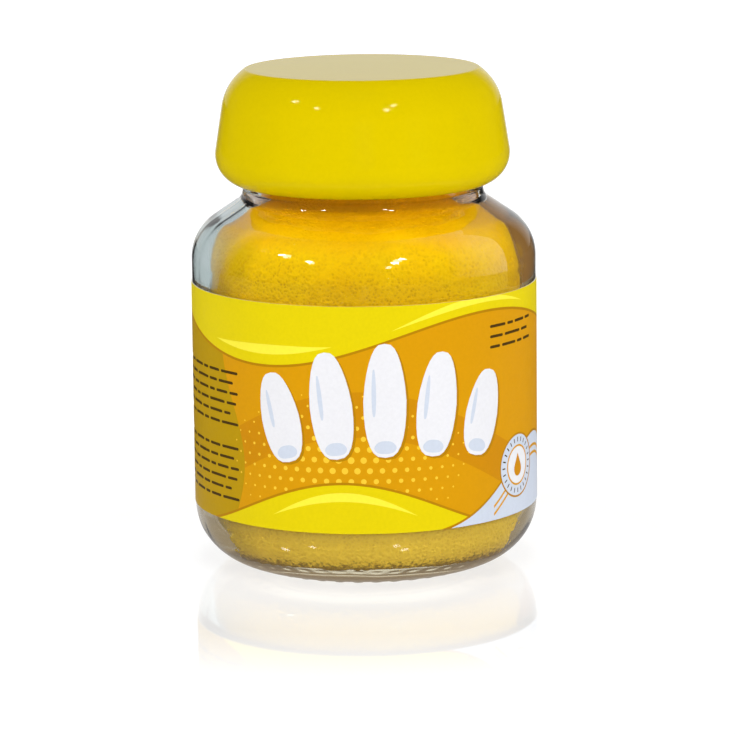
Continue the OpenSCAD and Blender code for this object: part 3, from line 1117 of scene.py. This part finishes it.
def wave(start: float, end: float, height: Callable[[float], float], step: float = 0.5) -> list[Point]:
    """Lists points of a curve over a stretch of the film.

    Args:
        start: Its first place along the film.
        end: Its last place.
        height: The curve's height at a place.
        step: The distance between points.

    Returns:
        The points.
    """
    count = max(2, math.ceil(abs(end - start) / step))
    return [(s, height(s)) for s in np.linspace(start, end, count + 1)]


def disc(centre: Point, radius: float, sides: int) -> tuple[Point, ...]:
    """Lists the corners of a round spot."""
    return tuple(arc(centre, radius, 0.0, 360.0 - 360.0 / sides, sides - 1))


def bar(foot: Point, top: Point, width: float) -> tuple[Point, ...]:
    """Lists the corners of a bar with round ends.

    Args:
        foot: The middle of its lower end.
        top: The middle of its upper end.
        width: Its width.

    Returns:
        The corners.
    """
    lean = math.degrees(math.atan2(top[1] - foot[1], top[0] - foot[0]))
    half = width / 2
    return tuple(arc(top, half, lean - 90, lean + 90, 8) + arc(foot, half, lean + 90, lean + 270, 8))


def almond(centre: Point, width: float, length: float, tilt: float) -> tuple[Point, ...]:
    """Lists the corners of an almond shape that narrows toward its top.

    Args:
        centre: Its middle.
        width: Its width.
        length: Its length.
        tilt: How far its top leans to the left, in radians.

    Returns:
        The corners.
    """
    found = []
    for turn in np.linspace(0, 2 * math.pi, 29)[:-1]:
        up = math.sin(turn)
        x = width / 2 * math.copysign(abs(math.cos(turn)) ** 0.7, math.cos(turn)) * (1 - 0.2 * max(up, 0.0))
        y = length / 2 * math.copysign(abs(up) ** 0.9, up)
        found.append(
            (
                centre[0] + x * math.cos(tilt) - y * math.sin(tilt),
                centre[1] + x * math.sin(tilt) + y * math.cos(tilt),
            )
        )
    return tuple(found)


def streak(start: float, end: float, height: Callable[[float], float], width: float) -> Print:
    """Draws a pale streak of light along a curve, pointed at both ends.

    Args:
        start: Its first place along the film.
        end: Its last place.
        height: The height of its lower side at a place.
        width: Its width in the middle.

    Returns:
        The streak.
    """

    def upper(s: float) -> float:
        """Gives the height of its upper side."""
        return height(s) + width * math.sin(math.pi * (s - start) / (end - start))

    return Print(Ink.LEMON, tuple(wave(start, end, height) + wave(end, start, upper)[1:-1]))


def shaded(
    ink: Ink, ends: Span, base: float, height: Callable[[float], float], shade_w: float = 0.4
) -> list[Print]:
    """Fills the film between a level line and a curve, with a thin shade along the curve.

    Args:
        ink: The ink.
        ends: The two ends of the level line.
        base: Its height.
        height: The curve's height at a place.
        shade_w: The shade's width.

    Returns:
        The shade and the area over it.
    """
    level = [(end, base) for end in ends]
    out = math.copysign(shade_w, height(ends[0]) - base)
    shade = level + wave(ends[1], ends[0], lambda s: height(s) + out)
    return [Print(Ink.SHADE, tuple(shade)), Print(ink, tuple(level + wave(ends[1], ends[0], height)))]


@dataclass
class FilmLabel:
    """The printed film round the body. Its ends meet at the back with a narrow gap."""

    radius: float = 27.0
    thickness: float = 0.12
    foot_z: float = 9.6
    top_z: float = 44.71
    seam_w: float = 3.0
    gap: float = 0.01
    # The flat film is cut into squares of this size at most, so that it bends round the body.
    grid: float = 1.3
    # The curves that bound the printed areas.
    sweep: Swell = Swell(14.0, 8.0, -24.0, 14.5)
    sweep_w: float = 7.0
    crest: Swell = Swell(29.4, 3.8, 2.0, 12.0)
    tide: Swell = Swell(3.2, 4.4, -19.0, 10.0)
    hill: Hill = Hill(-1.2, 12.8, 35.0, 14.0)
    hill_end: float = 70.0
    stripe_ends: Span = (22.0, 56.0)
    stripe_drops: Span = (1.9, 3.1)
    stripe_w: float = 0.45
    panel: Swell = Swell(-23.0, 2.5, 0.0, 6.0)
    dots_from: Point = (-26.0, 3.2)
    dot_rows: int = 14
    dot_columns: int = 26
    dot_pitch: Point = (1.9, 1.65)
    dot_r: float = 0.56
    dot_least_r: float = 0.12
    dots_middle: Point = (-3.0, 11.0)
    dots_reach: Point = (26.0, 14.0)
    nails_from: float = -13.6
    nail_pitch: float = 8.3
    nail_w: float = 6.6
    # The first nail's lean in degrees, and how much less each next one has.
    nail_lean: Point = (13.0, 6.5)
    nail_shade: float = 0.35
    nail_shade_w: float = 0.1
    moon: Point = (3.4, 2.0)
    moon_inset: float = 1.6
    shine_at: Point = (-1.7, 1.2)
    shine_w: float = 0.7
    shine_share: float = 0.42
    # The height of each nail's middle and its length.
    nail_sizes: tuple[Point, ...] = ((17.6, 14.0), (19.8, 16.6), (20.6, 17.6), (19.6, 16.2), (17.4, 13.4))
    # For each block of ruled lines: its left and right end, its foot and how many lines it has.
    blocks: tuple[tuple[float, float, float, int], ...] = (
        (-47.0, -22.0, 3.6, 6),
        (-47.0, -22.0, 15.4, 6),
        (21.5, 33.0, 27.2, 3),
    )
    line_pitch: float = 1.6
    line_w: float = 0.44
    dash: float = 1.2
    dash_step: float = 0.7
    dash_gap: float = 0.95
    dash_least: float = 1.5
    seal_at: Point = (28.5, 7.6)
    seal_rim: tuple[tuple[Ink, float], ...] = ((Ink.SHADE, 5.1), (Ink.MIST, 4.8))
    seal_middle: tuple[tuple[Ink, float], ...] = ((Ink.GOLD, 3.2), (Ink.WHITE, 2.9))
    ticks: int = 24
    tick_r: Span = (3.75, 4.3)
    tick_w: float = 0.22
    drop_r: float = 1.15
    drop_low: float = 0.6
    drop_high: float = 1.9

    @property
    def half(self) -> float:
        """Half the film's length along its outer face."""
        return math.pi * (self.radius + self.thickness) - self.seam_w / 2

    @property
    def height(self) -> float:
        """The film's width from its lower to its upper edge."""
        return self.top_z - self.foot_z

    def prints(self) -> list[Print]:
        """Lists the printed areas, each over those before it.

        Returns:
            Waves, ribbons, a dot screen, a fan of nails, a blank seal and ruled lines.
        """
        half, top = self.half + 1, self.height + 1
        found = [Print(Ink.GOLD, ((-half, -1), (half, -1), (half, top), (-half, top)))]
        sweep = wave(-half, half, lambda s: self.sweep(s) - self.sweep_w) + wave(half, -half, self.sweep)
        found.append(Print(Ink.AMBER, tuple(sweep)))
        # The left panel: print, darkened further as painted shade on the left side.
        edge = [(self.panel(z), float(z)) for z in np.linspace(-1, top, 48)]
        found.append(Print(Ink.OLIVE, tuple([(-half, top), (-half, -1.0), *edge])))
        found += self.dot_screen()
        found += shaded(Ink.YELLOW, (half, -half), top, self.crest)
        found.append(streak(-27, -5, lambda s: self.crest(s) + 1.6, 1.5))
        found.append(streak(4, 30, lambda s: self.crest(s) + 1.2, 1.1))
        found += shaded(Ink.YELLOW, (-half, half), -3, self.tide)
        found.append(streak(-15, 8, lambda s: self.tide(s) - 2.6, 1.4))
        found += shaded(Ink.MIST, (0, self.hill_end), -1.6, self.hill)
        left, right = self.stripe_ends
        for drop in self.stripe_drops:
            line = wave(left, right, lambda s: self.hill(s) - drop)
            line += wave(right, left, lambda s: self.hill(s) - drop - self.stripe_w)
            found.append(Print(Ink.GOLD, tuple(line)))
        return found + self.nails() + self.ruled_lines() + self.seal()

    def dot_screen(self) -> list[Print]:
        """Lists a screen of spots that shrink away from its middle."""
        found = []
        (left, foot), (across, up) = self.dots_from, self.dot_pitch
        for row in range(self.dot_rows):
            for column in range(self.dot_columns):
                s, z = left + across * column + (across / 2 if row % 2 else 0.0), foot + up * row
                aside, above = s - self.dots_middle[0], z - self.dots_middle[1]
                size = self.dot_r * (1 - math.hypot(aside / self.dots_reach[0], above / self.dots_reach[1]))
                if size > self.dot_least_r:
                    found.append(Print(Ink.PALE_GOLD, disc((s, z), size, sides=12)))
        return found

    def nails(self) -> list[Print]:
        """Lists a fan of finger nails, each with its half-moon and a streak of light."""
        found = []
        lean, less = self.nail_lean
        for k, (z, long) in enumerate(self.nail_sizes):
            s, tilt = self.nail_pitch * k + self.nails_from, math.radians(lean - less * k)
            shade = (s + self.nail_shade, z - self.nail_shade)
            found.append(Print(Ink.SHADE, almond(shade, self.nail_w + self.nail_shade_w, long, tilt)))
            found.append(Print(Ink.WHITE, almond((s, z), self.nail_w, long, tilt)))
            down = long / 2 - self.moon_inset
            foot = (s + down * math.sin(tilt), z - down * math.cos(tilt))
            found.append(Print(Ink.MIST, almond(foot, *self.moon, tilt)))
            shine = (s + self.shine_at[0], z + self.shine_at[1])
            found.append(Print(Ink.MIST, almond(shine, self.shine_w, long * self.shine_share, tilt)))
        return found

    def ruled_lines(self) -> list[Print]:
        """Lists blocks of broken ruled lines, two at the left and a short one at the right."""
        found = []
        for left, right, foot, rows in self.blocks:
            for row in range(rows):
                z, s, k = foot + self.line_pitch * row, left, row * 3 + rows
                while s < right - self.dash_least:
                    end = min(s + self.dash + self.dash_step * (k * 7 % 5), right)
                    found.append(Print(Ink.DARK, bar((s, z), (end, z), self.line_w)))
                    s, k = end + self.dash_gap, k + 1
        return found

    def seal(self) -> list[Print]:
        """Lists a round seal: rings, a ring of ticks and a plain drop."""
        centre = self.seal_at
        found = [Print(ink, disc(centre, radius, sides=48)) for ink, radius in self.seal_rim]
        for k in range(self.ticks):
            turn = 2 * math.pi * k / self.ticks
            way = (math.cos(turn), math.sin(turn))
            ends = [(centre[0] + r * way[0], centre[1] + r * way[1]) for r in self.tick_r]
            found.append(Print(Ink.DARK, bar(ends[0], ends[1], self.tick_w)))
        found += [Print(ink, disc(centre, radius, sides=48)) for ink, radius in self.seal_middle]
        belly = arc((centre[0], centre[1] - self.drop_low), self.drop_r, -210, 30, steps=16)
        found.append(Print(Ink.AMBER, tuple([*belly, (centre[0], centre[1] + self.drop_high)])))
        return found

    def wrapped(self, s: float, z: float, r: float) -> tuple[float, float, float]:
        """Lays a point of the flat film round the body.

        Args:
            s: Its place along the outer face.
            z: Its height above the lower edge.
            r: The radius that it gets.

        Returns:
            The point in metres.
        """
        turn = s / (self.radius + self.thickness)
        return r * math.sin(turn) * MM, -r * math.cos(turn) * MM, (self.foot_z + z) * MM

    def build(self) -> None:
        """Cuts the flat film along its inks, wraps it round the body and dresses it."""
        points: list[Vector] = []
        faces: list[list[int]] = []
        inks: list[Ink] = []
        half, high = self.half, self.height

        def add_face(outline: Sequence[Point], ink: Ink) -> None:
            """Adds an outline, turned so that it runs anticlockwise."""
            pairs = zip(outline, [*outline[1:], outline[0]], strict=True)
            area = sum(a[0] * b[1] - b[0] * a[1] for a, b in pairs)
            ordered = outline if area > 0 else outline[::-1]
            faces.append(list(range(len(points), len(points) + len(ordered))))
            points.extend(Vector(p) for p in ordered)
            inks.append(ink)

        columns, rows = math.ceil(2 * half / self.grid), math.ceil(high / self.grid)
        along = np.linspace(-half, half, columns + 1)
        up = np.linspace(0, high, rows + 1)
        border = [(s, 0.0) for s in along] + [(half, z) for z in up[1:]]
        border += [(s, high) for s in along[-2::-1]] + [(-half, z) for z in up[-2:0:-1]]
        add_face(border, Ink.BACK)
        for area in self.prints():
            add_face(area.outline, area.ink)
        points.extend(Vector((s, z)) for s in along[1:-1] for z in up[1:-1])
        flat, _, cells, _, _, owners = delaunay_2d_cdt(points, [], faces, 1, 1e-5)
        kept = [(cell, max(own)) for cell, own in zip(cells, owners, strict=True) if 0 in own]
        used = sorted({k for cell, _ in kept for k in cell})
        number = {k: i for i, k in enumerate(used)}
        outer = [self.wrapped(*flat[k], self.radius + self.thickness) for k in used]
        inner = [self.wrapped(*flat[k], self.radius + self.gap) for k in used]
        palette = list(Ink)
        shapes = [[number[k] for k in cell] for cell, _ in kept]
        colours = [palette.index(inks[own]) for _, own in kept]
        count = len(used)
        back = [[count + k for k in reversed(cell)] for cell in shapes]
        open_edges = {(a, b) for cell in shapes for a, b in zip(cell, cell[1:] + cell[:1], strict=True)}
        rim = [(b, a, count + a, count + b) for a, b in open_edges if (b, a) not in open_edges]
        mesh = bpy.data.meshes.new("label_form")
        mesh.from_pydata(outer + inner, [], shapes + back + rim)
        for ink in palette:
            mesh.materials.append(PrintedFilm(f"film_{ink.name.lower()}", ink.value).material())
        blank = palette.index(Ink.BACK)
        mesh.polygons.foreach_set("material_index", colours + [blank] * (len(back) + len(rim)))
        mesh.shade_smooth()
        normals = []
        for face in mesh.polygons:
            sign = 1.0 if face.index < len(shapes) else -1.0
            for k in face.vertices:
                x, y, _ = mesh.vertices[k].co
                flat_side = Vector((x, y, 0)).normalized() * sign
                normals.append(face.normal if face.index >= 2 * len(shapes) else flat_side)
        mesh.normals_split_custom_set(normals)
        place("film_label", mesh, "jar", "label")


@dataclass
class ScrewCap:
    """The cap: a glossy outer shell, the threaded insert in it and the loose liner."""

    shell_finish: Finish
    insert_finish: Finish
    liner_finish: Finish
    # The shell's outside.
    foot_z: float = 59.6
    top_z: float = 77.8
    radius: float = 23.05
    top_r: float = 18.25
    edge_r: float = 4.9
    crown_r: float = 8.5
    lean: float = 9.0
    rim_r: float = 0.8
    # Its hollow, with the lip below and the ribs under the top.
    bore_r: float = 20.2
    ceiling_z: float = 75.7
    lip_t: float = 0.5
    lip_w: float = 0.4
    ribs: int = 8
    rib_t: float = 1.3
    rib_bite: float = 0.4
    rib_start_r: float = 2.6
    rib_ring_r: float = 12.5
    rib_ring_segments: int = 96
    # The insert, with the bead that keeps the liner in.
    clearance: float = 0.05
    collar_r: float = 20.15
    collar_h: float = 1.5
    sleeve_r: float = 19.95
    insert_bore_r: float = 18.95
    insert_top_z: float = 74.0
    insert_ceiling_z: float = 72.8
    insert_edge_r: float = 2.2
    bead_z: float = 70.2
    bead_w: float = 0.8
    bead_h: float = 0.75
    lead_in: float = 0.4
    grip_ribs: int = 24
    grip_rib_w: float = 0.8
    grip_rib_h: float = 0.2
    grip_flank: float = 0.1
    liner_r: float = 18.45
    liner_z: float = 71.2
    liner_t: float = 1.4
    liner_edge: float = 0.2
    # The corners of the mark that the jar's rim has pressed into the liner: radius and depth.
    mark: tuple[Point, ...] = ((14.4, 0.0), (15.2, 0.14), (16.8, 0.14), (17.6, 0.0))
    shell_segments: int = 256
    insert_segments: int = 288
    liner_segments: int = 128
    sharp_from: float = 38.0
    thread: ScrewThread = ScrewThread(66.785, 1.131, 1.15, 1.8, 0.8)

    @property
    def lip(self) -> Point:
        """The inner upper edge of the shell's lip, which the insert snaps in over."""
        turn = math.radians(self.edge_angle(self.bore_r))
        return self.bore_r - self.lip_w, self.edge_centre[1] + self.edge_r * math.sin(turn) + self.lip_t

    @property
    def insert_foot_z(self) -> float:
        """The height of the insert's lower edge, on the shell's lip."""
        return self.lip[1] + self.clearance

    @property
    def collar_z(self) -> float:
        """The height of the top of the insert's collar."""
        return self.insert_foot_z + self.collar_h

    @property
    def edge_centre(self) -> Point:
        """The centre of the rounding along the lower edge."""
        return self.radius - self.edge_r, self.foot_z + self.edge_r

    def edge_angle(self, r: float) -> float:
        """Gives the angle at which the lower edge's rounding reaches a radius, in degrees."""
        return -math.degrees(math.acos((r - self.edge_centre[0]) / self.edge_r))

    def crown_centre(self) -> np.ndarray:
        """Finds the crown's centre. Its arc touches the leaning side and ends at the flat top's edge.

        Returns:
            Radius and height of the centre.
        """
        lean = math.radians(self.lean)
        up, out = np.array([-math.sin(lean), math.cos(lean)]), np.array([math.cos(lean), math.sin(lean)])
        foot = np.array(self.edge_centre) + self.edge_r * out
        reach = np.array([self.top_r, self.top_z]) - foot + self.crown_r * out
        rise = float(reach @ up) - math.sqrt(self.crown_r**2 - float(reach @ out) ** 2)
        return foot + rise * up - self.crown_r * out

    def shell_path(self) -> np.ndarray:
        """Builds the shell's section, out along its ceiling, down its bore and up its outside.

        Returns:
            The section's points.
        """
        centre = self.crown_centre()
        end = math.degrees(math.atan2(self.top_z - centre[1], self.top_r - centre[0]))
        crown = arc(tuple(centre), self.crown_r, self.lean, end - math.degrees(self.rim_r / self.crown_r), 28)
        hollow = self.bore_r - float(centre[0])
        hollow_end = math.degrees(math.asin((self.ceiling_z - centre[1]) / hollow))
        path = [(0.0, self.ceiling_z)] + arc(tuple(centre), hollow, hollow_end, 0.0, 12)
        path += [(self.bore_r, self.lip[1]), self.lip]
        path += arc(self.edge_centre, self.edge_r, self.edge_angle(self.lip[0]), self.lean, 28)
        path += crown + fillet(crown[-1], (self.top_r, self.top_z, self.rim_r), (0.0, self.top_z), 8)
        return refined(path + [(0.0, self.top_z)], longest=0.8)

    def insert_path(self) -> np.ndarray:
        """Builds the insert's section, out along its ceiling, down its bore and up its sleeve.

        Returns:
            The section's points.
        """
        mouth_r, foot, bead = self.insert_bore_r + self.lead_in, self.insert_foot_z, self.bead_z
        bore = [(self.insert_bore_r, bead), (self.insert_bore_r, foot + self.lead_in)]
        path = [(0.0, self.insert_ceiling_z), (self.insert_bore_r, self.insert_ceiling_z)]
        path.append((self.insert_bore_r, bead + self.bead_w))
        path.append((self.insert_bore_r - self.bead_h, bead + self.bead_w / 2))
        path += [tuple(p) for p in refined(bore, THREAD_STEP)]
        path += [(mouth_r, foot), (self.collar_r, foot), (self.collar_r, self.collar_z)]
        path.append((self.sleeve_r, self.collar_z))
        edge = (self.sleeve_r, self.insert_top_z, self.insert_edge_r)
        path += fillet(path[-1], edge, (0, self.insert_top_z), 8)
        return refined(path + [(0.0, self.insert_top_z)], longest=1.5)

    def insert_relief(self, r: np.ndarray, z: np.ndarray, angle: np.ndarray) -> np.ndarray:
        """Gives the insert's thread and its grip ribs.

        Args:
            r: Radii, one a row.
            z: Heights, one a row.
            angle: Angles in radians, one a column.

        Returns:
            How far the surface stands out at each place.
        """
        on_bore = (np.abs(r - self.insert_bore_r) < ON_WALL) & (z < self.bead_z)
        on_sleeve = np.abs(r - self.sleeve_r) < ON_WALL
        on_sleeve &= (z > self.collar_z + 0.1) & (z < self.insert_top_z - 2 * self.insert_edge_r)
        across = np.abs((angle * self.grip_ribs / (2 * math.pi) + 0.5) % 1 - 0.5)
        across = across * 2 * math.pi / self.grip_ribs * self.sleeve_r
        flank = self.grip_flank
        grip = self.grip_rib_h * np.clip((self.grip_rib_w / 2 + flank - across) / (2 * flank), 0, 1)
        return np.where(on_bore, self.thread.relief(z, angle), 0.0) + np.where(on_sleeve, grip, 0.0)

    def liner_path(self) -> np.ndarray:
        """Builds the liner's section, with the mark that the rim has pressed into it.

        Returns:
            The section's points.
        """
        foot, top, r, cut = self.liner_z, self.liner_z + self.liner_t, self.liner_r, self.liner_edge
        mark = [(at, foot + depth) for at, depth in self.mark]
        outline = [(0.0, foot), *mark, (r - cut, foot), (r, foot + cut), (r, top - cut), (r - cut, top)]
        return refined([*outline, (0.0, top)], longest=0.8)

    def with_ribs(self, mesh: bpy.types.Mesh) -> bpy.types.Mesh:
        """Adds the ribs under the flat top to the shell.

        Args:
            mesh: The shell's mesh.

        Returns:
            The same mesh.
        """
        foot, top = self.insert_top_z, self.ceiling_z + self.rib_bite
        points = [v.co[:] for v in mesh.vertices]
        faces = [list(f.vertices) for f in mesh.polygons]
        for k in range(self.ribs):
            turn = 2 * math.pi * k / self.ribs
            out = np.array([math.cos(turn), math.sin(turn)])
            side = np.array([-math.sin(turn), math.cos(turn)])
            first, last, start = self.rib_start_r, self.rib_ring_r, len(points)
            for z in (foot, top):
                for along, across in ((first, -1), (last, -1), (last, 1), (first, 1)):
                    x, y = along * out + across * self.rib_t / 2 * side
                    points.append((x * MM, y * MM, z * MM))
            box = [(3, 2, 1, 0), (4, 5, 6, 7), (0, 1, 5, 4), (1, 2, 6, 5), (2, 3, 7, 6), (3, 0, 4, 7)]
            faces += [[start + i for i in face] for face in box]
        n, start = self.rib_ring_segments, len(points)
        inner, outer = self.rib_ring_r - self.rib_t / 2, self.rib_ring_r + self.rib_t / 2
        for r, z in ((inner, foot), (outer, foot), (outer, top), (inner, top)):
            for j in range(n):
                turn = 2 * math.pi * j / n
                points.append((r * math.cos(turn) * MM, r * math.sin(turn) * MM, z * MM))
        for k in range(4):
            a, b = start + k * n, start + (k + 1) % 4 * n
            faces += [[a + j, a + (j + 1) % n, b + (j + 1) % n, b + j] for j in range(n)]
        mesh.clear_geometry()
        mesh.from_pydata(points, [], faces)
        mesh.shade_smooth()
        return mesh

    def build(self) -> None:
        """Builds and dresses the shell, the insert and the liner."""
        shell = self.with_ribs(Turning(self.shell_path(), self.shell_segments).mesh("cap_shell_form"))
        insert = Turning(self.insert_path(), self.insert_segments, self.insert_relief).mesh("cap_insert_form")
        liner = Turning(self.liner_path(), self.liner_segments).mesh("cap_liner_form")
        finishes = (self.shell_finish, self.insert_finish, self.liner_finish)
        for mesh, finish in zip((shell, insert, liner), finishes, strict=True):
            mesh.set_sharp_from_angle(angle=math.radians(self.sharp_from))
            mesh.materials.append(finish.material())
        place("cap_outer", shell, "cap", "cap_shell")
        place("cap_inner", insert, "cap", "cap_insert")
        place("cap_wad", liner, "liner", "cap_liner")


@dataclass
class Lamp:
    """A round lamp, placed by its direction from the jar in degrees. The viewer stands at side 0."""

    name: str
    side: float
    height: float
    power: float = 1.0
    size: float = 0.1
    distance: float = 1.2
    mirrored: bool = True


@dataclass
class Card:
    """An upright studio card that is only seen through glass. It has one colour below and one above."""

    name: str
    low: str
    high: str
    side: float
    blend_mm: Span = (50.0, 80.0)
    distance: float = 0.12
    width: float = 0.13
    height: float = 0.16


@dataclass
class Studio:
    """Camera, table, lamps, cards and surroundings."""

    distance: float = 0.61155
    camera_z: float = 0.14861
    pitch: float = 0.1913
    roll: float = -0.011
    lens: float = 193.3
    shift_x: float = 0.00357
    table_r: float = 6.0
    table_sides: int = 64
    table_drop: float = 0.00002
    lamps_aim_z: float = 0.05
    # The surroundings' levels: on matt surfaces, then in mirror images to the sides and straight behind.
    soft_light: float = 0.2
    room: Span = (0.05, 0.78)
    room_turn: Span = (0.8, 0.97)
    room_behind_viewer: str = "#8A6A38"
    window: tuple[float, float, float] = (0.35, 0.94, 0.0)
    window_turn: Span = (-0.1, 0.5)
    lamps: list[Lamp] = field(
        default_factory=lambda: [
            Lamp("lamp_left_outer", -68, 41),
            Lamp("lamp_left_inner", -41, 35),
            Lamp("lamp_right_outer", 30, 41),
            Lamp("lamp_right_inner", 22, 33),
            Lamp("top_front", 0, 65, 3.2, 0.5, 1.3, mirrored=False),
            Lamp("top_back", 180, 65, 3.2, 0.5, 1.3, mirrored=False),
        ]
    )
    fills: int = 8
    from_right: float = 0.25
    fill: Lamp = field(default_factory=lambda: Lamp("fill", 0, 8, 2.8, 0.4, 1.3, mirrored=False))
    cards: list[Card] = field(
        default_factory=lambda: [
            Card("card_brown", "#946A32", "#B4A68E", 140, (90.0, 120.0)),
            Card("card_grey", "#BECCCC", "#CAD4D6", 220),
        ]
    )

    def add_camera(self) -> None:
        """Puts the camera where the photograph was taken."""
        right = Vector((1, 0, 0))
        ahead = Vector((0, math.cos(self.pitch), -math.sin(self.pitch)))
        up = Vector((0, math.sin(self.pitch), math.cos(self.pitch)))
        right, up = (
            right * math.cos(self.roll) + up * math.sin(self.roll),
            up * math.cos(self.roll) - right * math.sin(self.roll),
        )
        data = bpy.data.cameras.new("camera")
        data.lens, data.sensor_width, data.shift_x = self.lens, 36.0, self.shift_x
        data.clip_start, data.clip_end = 0.01, 50.0
        camera = bpy.data.objects.new("camera", data)
        axes = Matrix((right, up, -ahead)).transposed().to_4x4()
        axes.translation = Vector((0, -self.distance, self.camera_z))
        camera.matrix_world = axes
        bpy.context.scene.collection.objects.link(camera)
        bpy.context.scene.camera = camera

    def add_world(self) -> None:
        """Surrounds the object with white, as the camera sees it, and with soft light on everything.

        In mirror images the room is bright only behind the jar. Through glass it is white toward a window
        behind the jar and brown behind the viewer.
        """
        world = bpy.data.worlds.new("surroundings")
        world.use_nodes = True
        tree = world.node_tree
        tree.nodes.clear()
        direction = add_node(tree, "ShaderNodeTexCoord").outputs["Generated"]
        depth = add_node(tree, "ShaderNodeSeparateXYZ", {0: direction}).outputs["Y"]
        inputs = {"Value": depth, "From Min": self.room_turn[0], "From Max": self.room_turn[1]}
        inputs |= {"To Min": self.room[0], "To Max": self.room[1]}
        room = add_node(tree, "ShaderNodeMapRange", inputs).outputs["Result"]
        inputs = {0: direction, 1: self.window}
        turned = add_node(tree, "ShaderNodeVectorMath", inputs, operation="DOT_PRODUCT").outputs["Value"]
        inputs = {"Value": turned, "From Min": self.window_turn[0], "From Max": self.window_turn[1]}
        toward_window = add_node(tree, "ShaderNodeMapRange", inputs).outputs["Result"]
        through = add_node(tree, "ShaderNodeLightPath").outputs["Is Transmission Ray"]
        seen = layered(tree, self.room_behind_viewer, [(toward_window, WHITE)])
        colour = layered(tree, WHITE, [(through, seen)])
        level = by_ray(tree, self.soft_light, room, 1.0, 1.0)
        back = add_node(tree, "ShaderNodeBackground", {"Color": colour, "Strength": level})
        add_node(tree, "ShaderNodeOutputWorld", {"Surface": back.outputs[0]})
        bpy.context.scene.world = world

    def add_lamp(self, lamp: Lamp) -> None:
        """Adds one lamp that points at the jar's middle.

        Args:
            lamp: Its direction, size and power.
        """
        data = bpy.data.lights.new(lamp.name, "AREA")
        data.shape, data.size, data.energy = "DISK", lamp.size, lamp.power
        side, height = math.radians(lamp.side), math.radians(lamp.height)
        out = math.cos(height)
        way = Vector((math.sin(side) * out, -math.cos(side) * out, math.sin(height)))
        thing = bpy.data.objects.new(lamp.name, data)
        thing.location = way * lamp.distance + Vector((0, 0, self.lamps_aim_z))
        thing.rotation_euler = way.to_track_quat("Z", "Y").to_euler()
        thing.visible_glossy = thing.visible_transmission = lamp.mirrored
        bpy.context.scene.collection.objects.link(thing)

    def add_card(self, card: Card) -> None:
        """Adds one card that stands upright and faces the jar.

        Args:
            card: Its colours, place and size.
        """
        side = math.radians(card.side)
        way = Vector((math.sin(side), -math.cos(side), 0))
        across = Vector((way.y, -way.x, 0))
        corners = []
        for u, z in ((-0.5, 0), (0.5, 0), (0.5, 1), (-0.5, 1)):
            corners.append(way * card.distance + across * u * card.width + Vector((0, 0, z * card.height)))
        mesh = bpy.data.meshes.new(card.name)
        mesh.from_pydata([c[:] for c in corners], [], [(0, 1, 2, 3)])
        material, tree = empty_material(card.name)
        share = change(tree, Way.Z, card.blend_mm, (0.0, 1.0))
        colour = layered(tree, card.low, [(share, card.high)])
        glow = add_node(tree, "ShaderNodeEmission", {"Color": colour, "Strength": 1.0})
        add_node(tree, "ShaderNodeOutputMaterial", {"Surface": glow.outputs[0]})
        mesh.materials.append(material)
        thing = bpy.data.objects.new(card.name, mesh)
        bpy.context.scene.collection.objects.link(thing)
        thing.visible_camera = thing.visible_diffuse = thing.visible_shadow = thing.visible_glossy = False

    def add_table(self) -> None:
        """Adds the pale table."""
        mesh = bpy.data.meshes.new("table")
        turns = [2 * math.pi * k / self.table_sides for k in range(self.table_sides)]
        rim = [(self.table_r * math.cos(turn), self.table_r * math.sin(turn), 0.0) for turn in turns]
        mesh.from_pydata(rim, [], [list(range(self.table_sides))])
        mesh.materials.append(PolishedTable("lacquered_board", "#ECECEC").material())
        thing = bpy.data.objects.new("table", mesh)
        thing.location.z = -self.table_drop
        bpy.context.scene.collection.objects.link(thing)

    def build(self) -> None:
        """Builds the studio."""
        self.add_camera()
        self.add_world()
        self.add_table()
        for lamp in self.lamps:
            self.add_lamp(lamp)
        for k in range(self.fills):
            side = 360 * k / self.fills
            power = self.fill.power * (1 + self.from_right * math.sin(math.radians(side)))
            self.add_lamp(replace(self.fill, name=f"{self.fill.name}_{k + 1}", side=side, power=power))
        for card in self.cards:
            self.add_card(card)
        bpy.context.scene.view_settings.view_transform = "Standard"


def main() -> None:
    """Builds the studio and the four sub-assemblies in order."""
    logging.basicConfig(level=logging.INFO, format="%(name)s: %(message)s")
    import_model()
    Studio().build()
    jar = GlassJar(
        MouldedGlass("soda_lime_glass", "#FBFDFD"),
        MouldedGlass("soda_lime_glass_inside", "#FBFDFD", ripple_mm=6.0, haze=0.06),
    )
    jar.build()
    FoamSponge(OpenCellFoam("open_cell_foam", "#F8CE00"), jar).build()
    FilmLabel().build()
    ScrewCap(
        MouldedPolypropylene("polished_polypropylene", "#D4BC00", gloss=(0.04, 0.07)),
        # The insert's far side gets a painted glow through the glass.
        MouldedPolypropylene("natural_polypropylene", "#EDEDE6", gloss=(0.35, 0.5), painted_far_glow_colour="#A89C98"),
        ExpandedPolyethylene("expanded_polyethylene", "#F2F2EE"),
    ).build()


if __name__ == "__main__":
    main()
